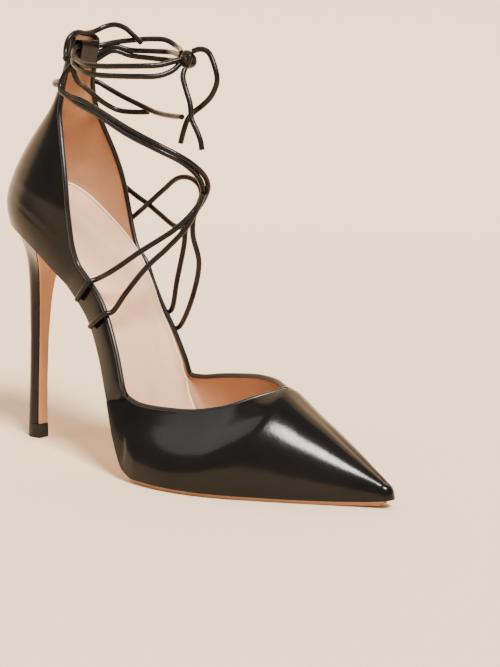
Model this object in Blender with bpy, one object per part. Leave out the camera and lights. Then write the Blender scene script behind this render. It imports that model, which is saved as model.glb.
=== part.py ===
"""Right shoe of a pair of pointed lace-up stiletto pumps, in metres, +X to the toe, +Y to the inner side, +Z up.

The origin is on the floor, under the middle of the shoe's length and of the ball's width.
"""

import math

import bmesh
import bpy
import numpy as np

# Driving sizes
SHOE_LENGTH = 0.2190
HEEL_HEIGHT = 0.1050
BALL_WIDTH = 0.0724
HEEL_ASIDE = 0.0052
SOLE = 0.0020
SOLE_LIP = 0.0004
WALL = 0.0017
GAP = 0.0003
BAND_HEIGHT = 0.0122
TAB_HEIGHT = 0.1025
COUNTER_HALF_WIDTH = 0.0240
THROAT_HEIGHT = 0.0450
ARCH = 0.0030
INSOLE_SEAT = 0.0110
INSOLE_RIM = 0.0205
SEAM_STEP = 0.0005
BREAST_AT = 0.1320
FACING = 0.0012
LIFT_HEIGHT = 0.0070
STEM_DEPTH = 0.0064
STEM_WIDTH = 0.0080
STEM_FOOT = 0.0570
LACE = 0.0026
CASING_WALL = 0.0006
CASING_WIDTH = 0.0120
CASING_SET = 0.0024
KNOT = 0.0096
OUTER_LOOPS = (0.270, 0.316)
INNER_LOOPS = (0.327, 0.346)

# Underside of the sole from the toe to the back of the seat: shares of SHOE_LENGTH, of HEEL_HEIGHT and, for the
# inner edge's rise over the outer, of ARCH
UNDERSIDE = (
    ("along", "height", "arch"),
    (1.000, 0.016, 0.00),
    (0.950, 0.008, 0.00),
    (0.885, 0.002, 0.00),
    (0.810, 0.000, 0.00),
    (0.700, 0.000, 0.00),
    (0.560, 0.000, 0.00),
    (0.500, 0.002, 0.05),
    (0.458, 0.033, 0.25),
    (0.418, 0.158, 0.60),
    (0.382, 0.345, 0.90),
    (0.343, 0.522, 1.00),
    (0.300, 0.648, 1.00),
    (0.250, 0.747, 0.85),
    (0.200, 0.830, 0.60),
    (0.140, 0.920, 0.30),
    (0.085, 0.980, 0.10),
    (0.040, 1.008, 0.00),
    (0.000, 1.022, 0.00),
)

# Height of the side bands above the feather edge, as shares of BAND_HEIGHT
BAND = (
    ("along", "lateral", "medial"),
    (0.400, 1.00, 0.55),
    (0.355, 1.00, 0.58),
    (0.325, 1.02, 0.62),
    (0.290, 1.08, 0.84),
    (0.250, 1.06, 1.24),
    (0.200, 1.00, 1.28),
    (0.080, 1.00, 1.10),
    (0.010, 1.00, 1.00),
    (0.000, 1.00, 1.00),
)

# Foot bed: its thickness in the middle as a share of INSOLE_SEAT, and how far its edges
# reach up the wall as shares of INSOLE_RIM
INSOLE = (
    ("along", "middle", "lateral", "medial"),
    (1.000, 0.20, 0.10, 0.10),
    (0.560, 0.21, 0.10, 0.10),
    (0.480, 0.30, 0.17, 0.16),
    (0.430, 0.44, 0.30, 0.22),
    (0.380, 0.60, 0.45, 0.26),
    (0.330, 0.76, 0.48, 0.32),
    (0.290, 0.88, 0.52, 0.52),
    (0.250, 0.94, 0.56, 0.72),
    (0.200, 0.98, 0.72, 0.92),
    (0.100, 1.00, 0.95, 1.06),
    (0.000, 1.00, 0.95, 0.95),
)

# Outline where the upper meets the sole: share of SHOE_LENGTH, then each side as a share of BALL_WIDTH
OUTLINE = (
    ("along", "lateral", "medial"),
    (0.985, -0.063, 0.143),
    (0.935, 0.012, 0.215),
    (0.880, 0.105, 0.305),
    (0.820, 0.210, 0.378),
    (0.760, 0.312, 0.435),
    (0.700, 0.405, 0.472),
    (0.640, 0.470, 0.488),
    (0.570, 0.500, 0.480),
    (0.500, 0.482, 0.450),
    (0.440, 0.440, 0.400),
    (0.400, 0.395, 0.355),
    (0.350, 0.325, 0.300),
    (0.300, 0.262, 0.275),
    (0.230, 0.222, 0.280),
)

# Ridge of the vamp from the toe to the throat. Feather and ridge places as shares of SHOE_LENGTH, across as a
# share of BALL_WIDTH, height as a share of THROAT_HEIGHT
RIDGE = (
    ("feather", "along", "across", "height"),
    (1.000, 0.988, 0.098, 0.205),
    (0.985, 0.978, 0.099, 0.238),
    (0.940, 0.940, 0.102, 0.352),
    (0.890, 0.892, 0.104, 0.498),
    (0.840, 0.844, 0.102, 0.652),
    (0.785, 0.793, 0.095, 0.812),
    (0.725, 0.742, 0.080, 1.000),
)

# Toplines from the throat to the waist, in the same columns
TOPLINE_LATERAL = (
    ("feather", "along", "across", "height"),
    (0.725, 0.742, 0.080, 1.000),
    (0.680, 0.705, -0.080, 0.925),
    (0.630, 0.657, -0.215, 0.825),
    (0.575, 0.585, -0.315, 0.765),
    (0.520, 0.515, -0.355, 0.760),
    (0.465, 0.470, -0.362, 0.775),
    (0.388, 0.443, -0.358, 0.825),
)
TOPLINE_MEDIAL = (
    ("feather", "along", "across", "height"),
    (0.725, 0.742, 0.080, 1.000),
    (0.680, 0.695, 0.190, 1.020),
    (0.630, 0.635, 0.275, 1.010),
    (0.575, 0.570, 0.345, 0.965),
    (0.520, 0.505, 0.380, 0.915),
    (0.465, 0.455, 0.390, 0.865),
    (0.380, 0.419, 0.385, 0.850),
)

# Slopes of the vamp's sections in degrees: leaving the feather edge outward, and reaching the top edge
SLOPES = (
    ("feather", "lateral_flare", "lateral_lean", "medial_flare", "medial_lean"),
    (1.000, -6, 0, -6, 0),
    (0.985, 6, 0, 4, 0),
    (0.940, 14, 0, 4, 4),
    (0.890, 16, 0, 4, 8),
    (0.840, 16, 0, 4, 12),
    (0.785, 15, 0, 4, 14),
    (0.725, 14, 10, 4, 14),
    (0.680, 14, 30, 4, 34),
    (0.630, 12, 52, 4, 52),
    (0.575, 10, 66, 4, 66),
    (0.520, 9, 74, 4, 74),
    (0.465, 8, 78, 4, 80),
    (0.385, 5, 86, 3, 86),
)

# Levels of the counter and its tab: each side's free front edge and the back, as shares of SHOE_LENGTH, each
# side's width as a share of COUNTER_HALF_WIDTH and heights above the band as shares of TAB_HEIGHT
COUNTER = (
    ("level", "front", "inner_front", "front_rise", "lateral", "medial", "back", "back_rise", "swell"),
    (0.00, 0.270, 0.270, 0.000, 0.98, 0.78, 0.008, 0.000, 0.09),
    (0.10, 0.254, 0.258, 0.092, 0.99, 0.80, 0.009, 0.040, 0.07),
    (0.23, 0.243, 0.241, 0.225, 0.99, 0.84, 0.017, 0.100, 0.05),
    (0.37, 0.229, 0.226, 0.366, 0.93, 0.82, 0.033, 0.172, 0.03),
    (0.50, 0.211, 0.209, 0.480, 0.82, 0.75, 0.055, 0.246, 0.01),
    (0.62, 0.188, 0.189, 0.594, 0.66, 0.63, 0.088, 0.338, 0.00),
    (0.74, 0.168, 0.172, 0.706, 0.49, 0.52, 0.125, 0.436, 0.00),
    (0.84, 0.166, 0.168, 0.805, 0.38, 0.44, 0.144, 0.525, 0.00),
    (0.92, 0.178, 0.178, 0.915, 0.34, 0.39, 0.158, 0.640, 0.00),
    (1.00, 0.189, 0.189, 1.030, 0.31, 0.36, 0.172, 0.780, 0.00),
)

# Heel below its flare: share of HEEL_HEIGHT, back as a share of SHOE_LENGTH, then shares of the stem's sizes
STEM = (
    ("height", "back", "depth", "width"),
    (0.000, 0.0440, 1.18, 1.08),
    (0.070, 0.0445, 1.15, 1.04),
    (0.250, 0.0460, 1.04, 0.98),
    (0.460, 0.0465, 1.06, 1.02),
    (0.600, 0.0460, 1.16, 1.24),
)

# How the heel spreads from its stem to the rim under the seat
FLARE = (
    ("rise", "spread"),
    (0.00, 0.00),
    (0.20, 0.03),
    (0.40, 0.08),
    (0.60, 0.18),
    (0.75, 0.36),
    (0.88, 0.66),
    (1.00, 1.00),
)

# Lace routes: shares of SHOE_LENGTH from the heel, of BALL_WIDTH from the axis, and of HEEL_HEIGHT, with shares of
# TAB_HEIGHT above 1. The turns run round the ankle and through the casing.
TURN_TOP = (
    ("along", "across", "height"),
    (0.457, 0.055, 1.872),
    (0.357, 0.388, 1.896),
    (0.328, 0.394, 1.921),
    (0.287, 0.377, 1.923),
    (0.253, 0.337, 1.915),
    (0.221, 0.268, 1.903),
    (0.193, 0.170, 1.882),
    (0.191, 0.069, 1.881),
    (0.192, -0.026, 1.878),
    (0.211, -0.124, 1.844),
    (0.285, -0.265, 1.806),
    (0.334, -0.283, 1.803),
    (0.377, -0.265, 1.807),
    (0.417, -0.215, 1.811),
    (0.448, -0.134, 1.818),
    (0.470, -0.028, 1.842),
)

TURN_MID = (
    ("along", "across", "height"),
    (0.458, 0.041, 1.858),
    (0.334, 0.394, 1.867),
    (0.288, 0.378, 1.867),
    (0.246, 0.325, 1.868),
    (0.219, 0.261, 1.882),
    (0.189, 0.170, 1.846),
    (0.187, 0.069, 1.845),
    (0.190, -0.026, 1.843),
    (0.210, -0.124, 1.810),
    (0.278, -0.259, 1.772),
    (0.323, -0.283, 1.763),
    (0.373, -0.268, 1.763),
    (0.413, -0.220, 1.765),
    (0.446, -0.143, 1.770),
    (0.463, -0.068, 1.793),
    (0.472, -0.014, 1.829),
)

# The two long strands that leave the tab, cross the instep and go down to the inner band
PAIR_TOP = (
    ("along", "across", "height"),
    (0.459, 0.028, 1.841),
    (0.334, 0.394, 1.830),
    (0.288, 0.378, 1.835),
    (0.246, 0.326, 1.843),
    (0.217, 0.255, 1.863),
    (0.185, 0.170, 1.812),
    (0.184, 0.069, 1.810),
    (0.185, -0.026, 1.807),
    (0.192, -0.090, 1.785),
    (0.182, -0.124, 1.739),
    (0.182, -0.152, 1.689),
    (0.210, -0.180, 1.660),
    (0.258, -0.221, 1.643),
    (0.307, -0.249, 1.614),
    (0.414, -0.290, 1.531),
    (0.483, -0.249, 1.469),
    (0.522, -0.166, 1.420),
    (0.536, -0.083, 1.379),
    (0.540, 0.000, 1.333),
    (0.535, 0.055, 1.285),
    (0.506, 0.124, 1.214),
    (0.467, 0.180, 1.140),
    (0.439, 0.221, 1.072),
    (0.428, 0.249, 0.989),
    (0.405, 0.276, 0.822),
    (0.374, 0.318, 0.658),
)

PAIR_LOW = (
    ("along", "across", "height"),
    (0.191, -0.166, 1.672),
    (0.253, -0.221, 1.625),
    (0.311, -0.262, 1.592),
    (0.413, -0.304, 1.509),
    (0.481, -0.262, 1.451),
    (0.518, -0.180, 1.406),
    (0.529, -0.097, 1.365),
    (0.530, -0.014, 1.318),
    (0.525, 0.041, 1.270),
    (0.502, 0.097, 1.205),
    (0.480, 0.138, 1.140),
    (0.465, 0.193, 1.046),
    (0.473, 0.235, 0.922),
    (0.453, 0.262, 0.765),
    (0.408, 0.318, 0.502),
)

# Strands that start at the outer band, and the two that cross behind the tab
NEAR_TOP = (
    ("along", "across", "height"),
    (0.335, -0.345, 0.826),
    (0.374, -0.290, 0.894),
    (0.422, -0.193, 0.983),
    (0.479, -0.055, 1.090),
    (0.501, 0.041, 1.167),
    (0.504, 0.110, 1.223),
    (0.487, 0.166, 1.272),
    (0.443, 0.235, 1.303),
    (0.400, 0.276, 1.294),
    (0.346, 0.331, 1.226),
    (0.297, 0.359, 1.150),
    (0.248, 0.401, 1.081),
    (0.203, 0.421, 1.013),
)

NEAR_LOW = (
    ("along", "across", "height"),
    (0.391, -0.387, 0.705),
    (0.416, -0.304, 0.807),
    (0.442, -0.193, 0.921),
    (0.468, -0.110, 0.996),
    (0.495, -0.014, 1.091),
    (0.508, 0.055, 1.181),
    (0.528, 0.041, 1.257),
)

FAR_X = (
    ("along", "across", "height"),
    (0.445, 0.207, 1.074),
    (0.402, 0.249, 1.072),
    (0.342, 0.318, 1.113),
    (0.290, 0.387, 1.148),
    (0.253, 0.407, 1.178),
    (0.217, 0.421, 1.215),
    (0.193, 0.414, 1.254),
)

LOW_FAR = (
    ("along", "across", "height"),
    (0.183, -0.142, 1.706),
    (0.153, -0.099, 1.702),
    (0.124, 0.014, 1.710),
    (0.122, 0.104, 1.715),
    (0.142, 0.214, 1.720),
    (0.169, 0.276, 1.712),
    (0.186, 0.304, 1.690),
    (0.219, 0.331, 1.655),
    (0.276, 0.331, 1.615),
    (0.329, 0.290, 1.589),
    (0.407, 0.166, 1.583),
    (0.458, 0.069, 1.587),
)

LOW_NEAR = (
    ("along", "across", "height"),
    (0.192, -0.076, 1.790),
    (0.198, -0.041, 1.726),
    (0.191, 0.055, 1.697),
    (0.190, 0.152, 1.659),
    (0.200, 0.235, 1.617),
    (0.221, 0.304, 1.585),
    (0.259, 0.331, 1.580),
    (0.299, 0.331, 1.585),
)

# Loop and ends that hang from the knot, and the loop that stands over the casing
BOW_LOOP = (
    ("along", "across", "height"),
    (0.503, -0.014, 1.884),
    (0.520, -0.014, 1.894),
    (0.545, -0.028, 1.883),
    (0.567, -0.041, 1.816),
    (0.573, -0.041, 1.760),
    (0.561, -0.041, 1.698),
    (0.539, -0.041, 1.652),
    (0.516, -0.041, 1.618),
    (0.501, -0.041, 1.585),
    (0.495, -0.055, 1.536),
    (0.487, -0.055, 1.477),
)

BOW_STRAND = (
    ("along", "across", "height"),
    (0.489, -0.028, 1.817),
    (0.492, -0.069, 1.774),
    (0.508, -0.097, 1.715),
    (0.523, -0.110, 1.655),
    (0.531, -0.124, 1.591),
    (0.543, -0.124, 1.549),
    (0.555, -0.124, 1.502),
    (0.560, -0.124, 1.459),
)

TOP_LOOP = (
    ("along", "across", "height"),
    (0.200, -0.174, 1.834),
    (0.203, -0.171, 1.818),
    (0.192, -0.138, 1.858),
    (0.193, -0.110, 1.917),
    (0.196, -0.041, 1.943),
    (0.194, 0.055, 1.941),
    (0.193, 0.152, 1.951),
    (0.202, 0.221, 1.973),
    (0.219, 0.262, 1.984),
    (0.240, 0.290, 1.970),
    (0.262, 0.304, 1.935),
    (0.282, 0.304, 1.905),
)


def column(table, name):
    """One named column of a table, in the order of its rows."""
    place = table[0].index(name)
    return np.array([row[place] for row in table[1:]], float)


def smooth_read(places, values, at):
    """Value at a place, by a curve through the rows that never overshoots them."""
    if places[0] > places[-1]:
        places, values = places[::-1], values[::-1]
    step = np.diff(places)
    slope = np.diff(values) / step
    grade = np.zeros(len(values))
    grade[0], grade[-1] = slope[0], slope[-1]
    for k in range(1, len(values) - 1):
        if slope[k - 1] * slope[k] > 0:
            near = 2 * step[k] + step[k - 1]
            far = step[k] + 2 * step[k - 1]
            grade[k] = (near + far) / (near / slope[k - 1] + far / slope[k])
    k = int(np.clip(np.searchsorted(places, at) - 1, 0, len(step) - 1))
    t = min(max((at - places[k]) / step[k], 0.0), 1.0)
    rise = values[k + 1] - values[k]
    return (
        values[k]
        + rise * t * t * (3 - 2 * t)
        + step[k] * t * (1 - t) * (grade[k] * (1 - t) - grade[k + 1] * t)
    )


def read(table, name, at, by):
    """Value of a named column where the column named by equals at."""
    return float(smooth_read(column(table, by), column(table, name), at))


def unit(vector):
    vector = np.asarray(vector, float)
    return vector / np.linalg.norm(vector)


def along_x(share):
    """X of a share of the shoe's length, 0 at the back of the counter and 1 at the toe."""
    return (share - 0.5) * SHOE_LENGTH


def underside(share):
    """Point of the sole's underside on the shoe's axis, and the direction out of it, up into the shoe."""
    delta = 0.004
    height = HEEL_HEIGHT * read(UNDERSIDE, "height", share, "along")
    ahead = min(share + delta, 1.0)
    behind = max(share - delta, 0.0)
    rise = HEEL_HEIGHT * (read(UNDERSIDE, "height", ahead, "along") - read(UNDERSIDE, "height", behind, "along"))
    run = (ahead - behind) * SHOE_LENGTH
    return np.array([along_x(share), 0.0, height]), unit([-rise, 0.0, run])


def outline(share, side):
    """Y of the feather edge at a share of the length, on side -1, the outer, or +1, the inner."""
    name = "lateral" if side < 0 else "medial"
    return side * BALL_WIDTH * read(OUTLINE, name, share, "along")


def seat_front():
    return column(OUTLINE, "along")[-1]


def seat_curve(front, back, wide, middle, swell, turn):
    """Plan of a section round the heel: turn 0 at its front edge and 1 at the back of the heel."""
    angle = turn * math.pi / 2
    bend = 2 / 2.08
    x = front - (front - back) * math.sin(angle) ** bend
    half = wide * math.cos(angle) ** bend * (1 + swell * math.sin(2 * angle)) if turn < 1 else 0.0
    return x, middle + half


def toe_columns():
    """Turns round the toe's small arc, from its tip."""
    return (0.0, 0.33, 0.66)


def feather(column_place, side):
    """Feather edge at a column: toe (turn), side (share) or seat (turn), with the shoe's inward direction."""
    kind, place = column_place
    share = place
    if kind == "toe":
        last = column(OUTLINE, "along")[0]
        middle = (outline(last, 1) + outline(last, -1)) / 2
        half = abs(outline(last, side) - middle)
        angle = place * math.pi / 2
        share = last + (1 - last) * math.cos(angle)
        point, up = underside(share)
        y = middle + side * half * math.sin(angle)
        out = unit([math.cos(angle), side * math.sin(angle), 0.0])
    elif kind == "side":
        point, up = underside(share)
        y = outline(share, side)
        delta = 0.01
        low, high = max(share - delta, seat_front()), min(share + delta, 0.985)
        turn = (outline(high, side) - outline(low, side)) / ((high - low) * SHOE_LENGTH)
        out = unit([-side * turn, side, 0.0]) if share > 0.5 else unit([0.0, side, 0.0])
    else:
        start = seat_front()
        wide = abs(outline(start, side) - HEEL_ASIDE)
        share, y = seat_curve(start, 0.006, wide, 0.0, 0.16, place)
        y = HEEL_ASIDE + side * y
        point, up = underside(share)
        angle = place * math.pi / 2
        out = unit([-math.sin(angle), side * math.cos(angle), 0.0])
    point[1] = y
    if side > 0:
        point[2] += ARCH * read(UNDERSIDE, "arch", share, "along")
    return point, up, out


def bezier(start, first, second, end, t):
    s = 1 - t
    return s**3 * start + 3 * s * s * t * first + 3 * s * t * t * second + t**3 * end


def topline(side):
    return TOPLINE_LATERAL if side < 0 else TOPLINE_MEDIAL


def vamp_top(share, side):
    """Ridge or topline point that belongs to a share of the feather edge."""
    table = RIDGE if share >= column(RIDGE, "feather")[-1] else topline(side)
    return np.array(
        [
            along_x(read(table, "along", share, "feather")),
            BALL_WIDTH * read(table, "across", share, "feather"),
            THROAT_HEIGHT * read(table, "height", share, "feather"),
        ]
    )


def vamp_share(column_place):
    kind, place = column_place
    if kind == "toe":
        last = column(OUTLINE, "along")[0]
        return last + (1 - last) * math.cos(place * math.pi / 2)
    return place


def vamp_point(column_place, side, rise, lift=SEAM_STEP):
    """Inner face of the vamp from the feather edge, rise 0, to its ridge or topline, rise 1."""
    name = "lateral" if side < 0 else "medial"
    share = vamp_share(column_place)
    foot, up, out = feather(column_place, side)
    start = foot + up * (SOLE + GAP)
    top = vamp_top(share, side)
    flare = math.radians(read(SLOPES, name + "_flare", share, "feather"))
    lean = math.radians(read(SLOPES, name + "_lean", share, "feather"))
    reach = np.linalg.norm(top - start)
    first = start + 0.40 * reach * (up * math.cos(flare) + out * math.sin(flare))
    second = top + 0.36 * reach * (out * math.cos(lean) - up * math.sin(lean))
    return bezier(start, first, second, top, rise) + out * lift * min(1.0, 8 * (1 - rise))


def band_point(column_place, side, rise):
    """Inner face of the band along the waist and round the foot of the counter."""
    foot, up, out = feather(column_place, side)
    start = foot + up * (SOLE + GAP)
    kind, place = column_place
    share = foot[0] / SHOE_LENGTH + 0.5
    height = BAND_HEIGHT * read(BAND, "lateral" if side < 0 else "medial", share, "along")
    if kind == "seat":
        up = unit(up * (1 - place) + np.array([0.0, 0.0, place]))
    bulge = 0.0012 * math.sin(rise * math.pi * 0.75)
    lean = 0.0014 * rise
    return start + up * height * rise + out * (bulge + lean)


def counter_section(turn, side, level):
    """Point of the counter's own sections, before they are blended into the band."""
    base_front = band_point(("seat", 0.0), -1, 1.0)
    base_back = band_point(("seat", 1.0), -1, 1.0)
    outer = side < 0
    wide = COUNTER_HALF_WIDTH * read(COUNTER, "lateral" if outer else "medial", level, "level")
    front = read(COUNTER, "front" if outer else "inner_front", level, "level")
    back = read(COUNTER, "back", level, "level")
    share, half = seat_curve(front, back, wide, 0.0, read(COUNTER, "swell", level, "level"), turn)
    front_z = base_front[2] + TAB_HEIGHT * read(COUNTER, "front_rise", level, "level")
    back_z = base_back[2] + TAB_HEIGHT * read(COUNTER, "back_rise", level, "level")
    run = (front - share) / (front - back)
    return np.array([along_x(share), HEEL_ASIDE + side * half, front_z + (back_z - front_z) * run])


def counter_point(turn, side, level):
    """Inner face of the counter and its tab above the band, level 0 to 1."""
    fade = max(0.0, 1 - level / 0.45) ** 2
    start = band_point(("seat", turn), side, 1.0) - counter_section(turn, side, 0.0)
    return counter_section(turn, side, level) + start * fade


def columns_of_vamp(side):
    """Feather places of the vamp's columns, from the tip to the waist."""
    last = column(topline(side), "feather")[-1]
    throat = column(RIDGE, "feather")[-1]
    tip = column(OUTLINE, "along")[0]
    places = [("toe", turn) for turn in toe_columns()]
    shares = np.concatenate([np.linspace(tip, throat, 10), np.linspace(throat - 0.025, last, 12)])
    return places + [("side", float(share)) for share in shares]


def columns_of_band(side):
    last = column(topline(side), "feather")[-1]
    shares = np.linspace(last - 0.012, seat_front() + 0.018, 10)
    return [("side", float(share)) for share in shares]


def turns_of_seat():
    return [float(turn) for turn in np.linspace(0.0, 1.0, 14)]


class Skin:
    """Points and faces of one open surface, with shared points kept once."""

    def __init__(self):
        self.points = []
        self.keys = {}
        self.faces = []

    def at(self, point):
        key = tuple(np.round(np.asarray(point) / 1e-6).astype(int))
        if key not in self.keys:
            self.keys[key] = len(self.points)
            self.points.append(np.asarray(point, float))
        return self.keys[key]

    def grid(self, rows, turned):
        for low, high in zip(rows[:-1], rows[1:]):
            for k in range(len(low) - 1):
                corners = [self.at(low[k]), self.at(low[k + 1]), self.at(high[k + 1]), self.at(high[k])]
                corners = list(dict.fromkeys(corners))
                if len(corners) > 2:
                    self.faces.append(corners[::-1] if turned else corners)


def normals_of(points, faces):
    normals = np.zeros((len(points), 3))
    for face in faces:
        total = np.zeros(3)
        for a, b in zip(face, face[1:] + face[:1]):
            total += np.cross(points[a], points[b])
        for corner in face:
            normals[corner] += total
    return normals / np.linalg.norm(normals, axis=1)[:, None]


def shell(points, faces, thickness):
    """Closed wall: the inner faces, the same faces outside, and a rim along each free edge."""
    points = np.array(points)
    outer = points - normals_of(points, faces) * thickness
    count = len(points)
    closed = [list(face) for face in faces]
    closed += [[corner + count for corner in face[::-1]] for face in faces]
    edges = {}
    for face in faces:
        for a, b in zip(face, face[1:] + face[:1]):
            edges[(a, b)] = True
    for a, b in edges:
        if (b, a) not in edges:
            closed.append([b, a, a + count, b + count])
    return np.vstack([points, outer]), closed


def upper_faces():
    skin = Skin()
    rises = [k / 7 for k in range(8)]
    heights = list(np.linspace(0.0, 1.0, 15))
    turns = turns_of_seat()
    for side in (-1, 1):
        vamp = columns_of_vamp(side)
        rows = [[vamp_point(place, side, rise) for rise in rises] for place in vamp]
        rows += [[vamp_point(vamp[-1], side, rise, 0.0) for rise in rises]]
        rows += [[band_point(place, side, rise) for rise in rises] for place in columns_of_band(side)]
        rows += [[band_point(("seat", turn), side, rise) for rise in rises] for turn in turns]
        skin.grid(rows, side < 0)
        rows = [[counter_point(turn, side, height) for height in heights] for turn in turns]
        skin.grid(rows, side < 0)
    return skin.points, skin.faces


def plank(rows):
    """Closed slab from rows of (lower points, upper points) that run across it."""
    across = len(rows[0][0])
    points = [point for low, high in rows for point in (*low, *high)]
    faces = []

    def at(row, k, top):
        return row * 2 * across + k + (across if top else 0)

    for row in range(len(rows) - 1):
        for k in range(across - 1):
            faces.append([at(row, k, 0), at(row + 1, k, 0), at(row + 1, k + 1, 0), at(row, k + 1, 0)])
            faces.append([at(row, k, 1), at(row, k + 1, 1), at(row + 1, k + 1, 1), at(row + 1, k, 1)])
        for k in (0, across - 1):
            side = [at(row, k, 0), at(row, k, 1), at(row + 1, k, 1), at(row + 1, k, 0)]
            faces.append(side if k == 0 else side[::-1])
    for row in (0, len(rows) - 1):
        end = [at(row, k, 0) for k in range(across)] + [at(row, k, 1) for k in reversed(range(across))]
        faces.append(end if row == 0 else end[::-1])
    return points, faces


def bottom_columns(toe_end):
    """Feather places from the toe to the start of the seat, for the pieces that lie across the shoe's bottom."""
    shares = list(np.linspace(toe_end, 0.52, 10)) + list(np.linspace(0.49, 0.40, 6))
    shares += list(np.linspace(0.375, seat_front() + 0.015, 7))
    return [("side", float(share)) for share in shares]


def turn_at(share):
    """Turn round the seat at which the feather edge reaches a share of the length."""
    low, high = 0.0, 1.0
    for _ in range(30):
        middle = (low + high) / 2
        foot = feather(("seat", middle), -1)[0]
        if foot[0] > along_x(share):
            low = middle
        else:
            high = middle
    return low


def wall_point(column_place, side, reach):
    """Point of the upper's inner face at a distance up the wall from its lower edge."""
    kind, place = column_place
    last = column(topline(side), "feather")[-1]
    steps = [k / 12 for k in range(13)]
    if kind == "side" and place > last:
        line = [vamp_point(column_place, side, step, 0.0) for step in steps]
    else:
        line = [band_point(column_place, side, step) for step in steps]
    if kind == "seat":
        line += [counter_point(place, side, step) for step in steps[1:]]
    for low, high in zip(line[:-1], line[1:]):
        length = np.linalg.norm(high - low)
        if reach <= length:
            return low + (high - low) * reach / length
        reach -= length
    return line[-1]


def sole_inset(share):
    """The sole stands out by its lip round the forefoot and is drawn in under the waist."""
    under_waist = min(max((0.50 - share) / 0.10, 0.0), 1.0)
    return -SOLE_LIP + (0.0035 + SOLE_LIP) * under_waist


def sole_edge(column_place, side, height):
    foot, up, out = feather(column_place, side)
    share = foot[0] / SHOE_LENGTH + 0.5
    inward = out if column_place[0] == "side" and share > 0.5 else np.array([0.0, side, 0.0])
    return foot + up * height - inward * sole_inset(share)


def make_outsole(leather):
    heel_end = turn_at(BREAST_AT + GAP / SHOE_LENGTH)
    seat = [("seat", float(turn)) for turn in np.linspace(0.0, heel_end, 5)]
    rows = []
    for place in bottom_columns(0.985) + seat:
        low, high = [], []
        for line, height in ((low, 0.0), (high, SOLE)):
            outer = sole_edge(place, -1, height)
            inner = sole_edge(place, 1, height)
            line.extend(outer + (inner - outer) * k / 6 for k in range(7))
        rows.append((low, high))
    points, faces = plank(rows)
    return add_object("outsole", points, faces, leather)


def bed_line(column_place):
    """Edges of the foot bed on both sides, low and high, and how much its middle lies below its edges."""
    ends = []
    for side, name in ((-1, "lateral"), (1, "medial")):
        foot, up, out = feather(column_place, side)
        share = foot[0] / SHOE_LENGTH + 0.5
        clear = out * (WALL + 1.5 * GAP)
        low = foot + up * (SOLE + GAP) - clear
        reach = INSOLE_RIM * read(INSOLE, name, share, "along")
        high = wall_point(column_place, side, reach) - clear
        ends.append((low, high))
    middle = INSOLE_SEAT * read(INSOLE, "middle", share, "along")
    return ends, up * middle


def make_insole(padding):
    seat = [("seat", turn) for turn in turns_of_seat() if turn < 0.95]
    rows = []
    for place in bottom_columns(0.955) + seat:
        ((outer_low, outer_high), (inner_low, inner_high)), thick = bed_line(place)
        low, high = [], []
        for k in range(11):
            across = (1 - math.cos(math.pi * k / 10)) / 2
            bottom = outer_low + (inner_low - outer_low) * across
            rim = outer_high + (inner_high - outer_high) * across
            edge = abs(2 * across - 1) ** 5
            low.append(bottom)
            high.append(bottom + thick + (rim - bottom - thick) * edge)
        rows.append((low, high))
    points, faces = plank(rows)
    return add_object("insole", points, faces, padding)


def stem_ring(height_share, turns):
    """Section of the heel's stem: round at the back, flat across the breast."""
    back = along_x(read(STEM, "back", height_share, "height"))
    depth = STEM_DEPTH * read(STEM, "depth", height_share, "height")
    half = STEM_WIDTH / 2 * read(STEM, "width", height_share, "height")
    ring = []
    for side, turn in turns:
        angle = turn * math.pi / 2
        x = back + depth * (1 - math.sin(angle) ** 0.9)
        round_off = 0.74 + 0.26 * math.sin(min(turn / 0.4, 1.0) * math.pi / 2)
        y = HEEL_ASIDE + side * half * round_off * math.cos(angle) ** 0.75 if turn < 1 else HEEL_ASIDE
        ring.append(np.array([x, y, height_share * HEEL_HEIGHT]))
    return ring


def ring_turns():
    """Side and turn of a heel section's points, from the outer breast corner round the back."""
    steps = 9
    return [(-1, k / steps) for k in range(steps + 1)] + [(1, 1 - k / steps) for k in range(1, steps + 1)]


def flare_ring(rise):
    """Section of the heel between its stem, rise 0, and the rim under the seat, rise 1."""
    start = turn_at(BREAST_AT)
    stem = stem_ring(STEM_FOOT / HEEL_HEIGHT, ring_turns())
    spread = read(FLARE, "spread", rise, "rise")
    ring = []
    for low, (side, turn) in zip(stem, ring_turns()):
        foot, up, out = feather(("seat", start + (1 - start) * turn), side)
        high = foot + up * SOLE
        plan = low + (high - low) * spread
        ring.append(np.array([plan[0], plan[1], low[2] + (high[2] - low[2]) * rise]))
    return ring


def heel_rings():
    """Rings of the heel from the top lift to the rim under the seat."""
    lowest = (LIFT_HEIGHT + GAP) / HEEL_HEIGHT
    rings = [stem_ring(share, ring_turns()) for share in (lowest, 0.16, 0.28, 0.40, 0.48)]
    return rings + [flare_ring(rise) for rise in (0.0, 0.2, 0.36, 0.5, 0.62, 0.72, 0.81, 0.88, 0.94, 1.0)]


def lofted(rings):
    """Closed solid through rings of equal count."""
    count = len(rings[0])
    points = [point for ring in rings for point in ring]
    faces = [list(range(count))[::-1], [len(points) - count + k for k in range(count)]]
    for level in range(len(rings) - 1):
        for k in range(count):
            here = level * count + k
            beside = level * count + (k + 1) % count
            faces.append([here, beside, beside + count, here + count])
    return points, faces


def make_heel(leather):
    points, faces = lofted(heel_rings())
    return add_object("heel", points, faces, leather)


def breast_top():
    """Rise of the heel's flare at which the facing meets the underside of the sole."""
    low, high = 0.5, 1.0
    for _ in range(30):
        middle = (low + high) / 2
        ring = flare_ring(middle)
        share = (ring[0][0] + GAP + FACING) / SHOE_LENGTH + 0.5
        room = underside(share)[0][2] - 2 * GAP - max(ring[0][2], ring[-1][2])
        if room > 0:
            low = middle
        else:
            high = middle
    return low


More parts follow.
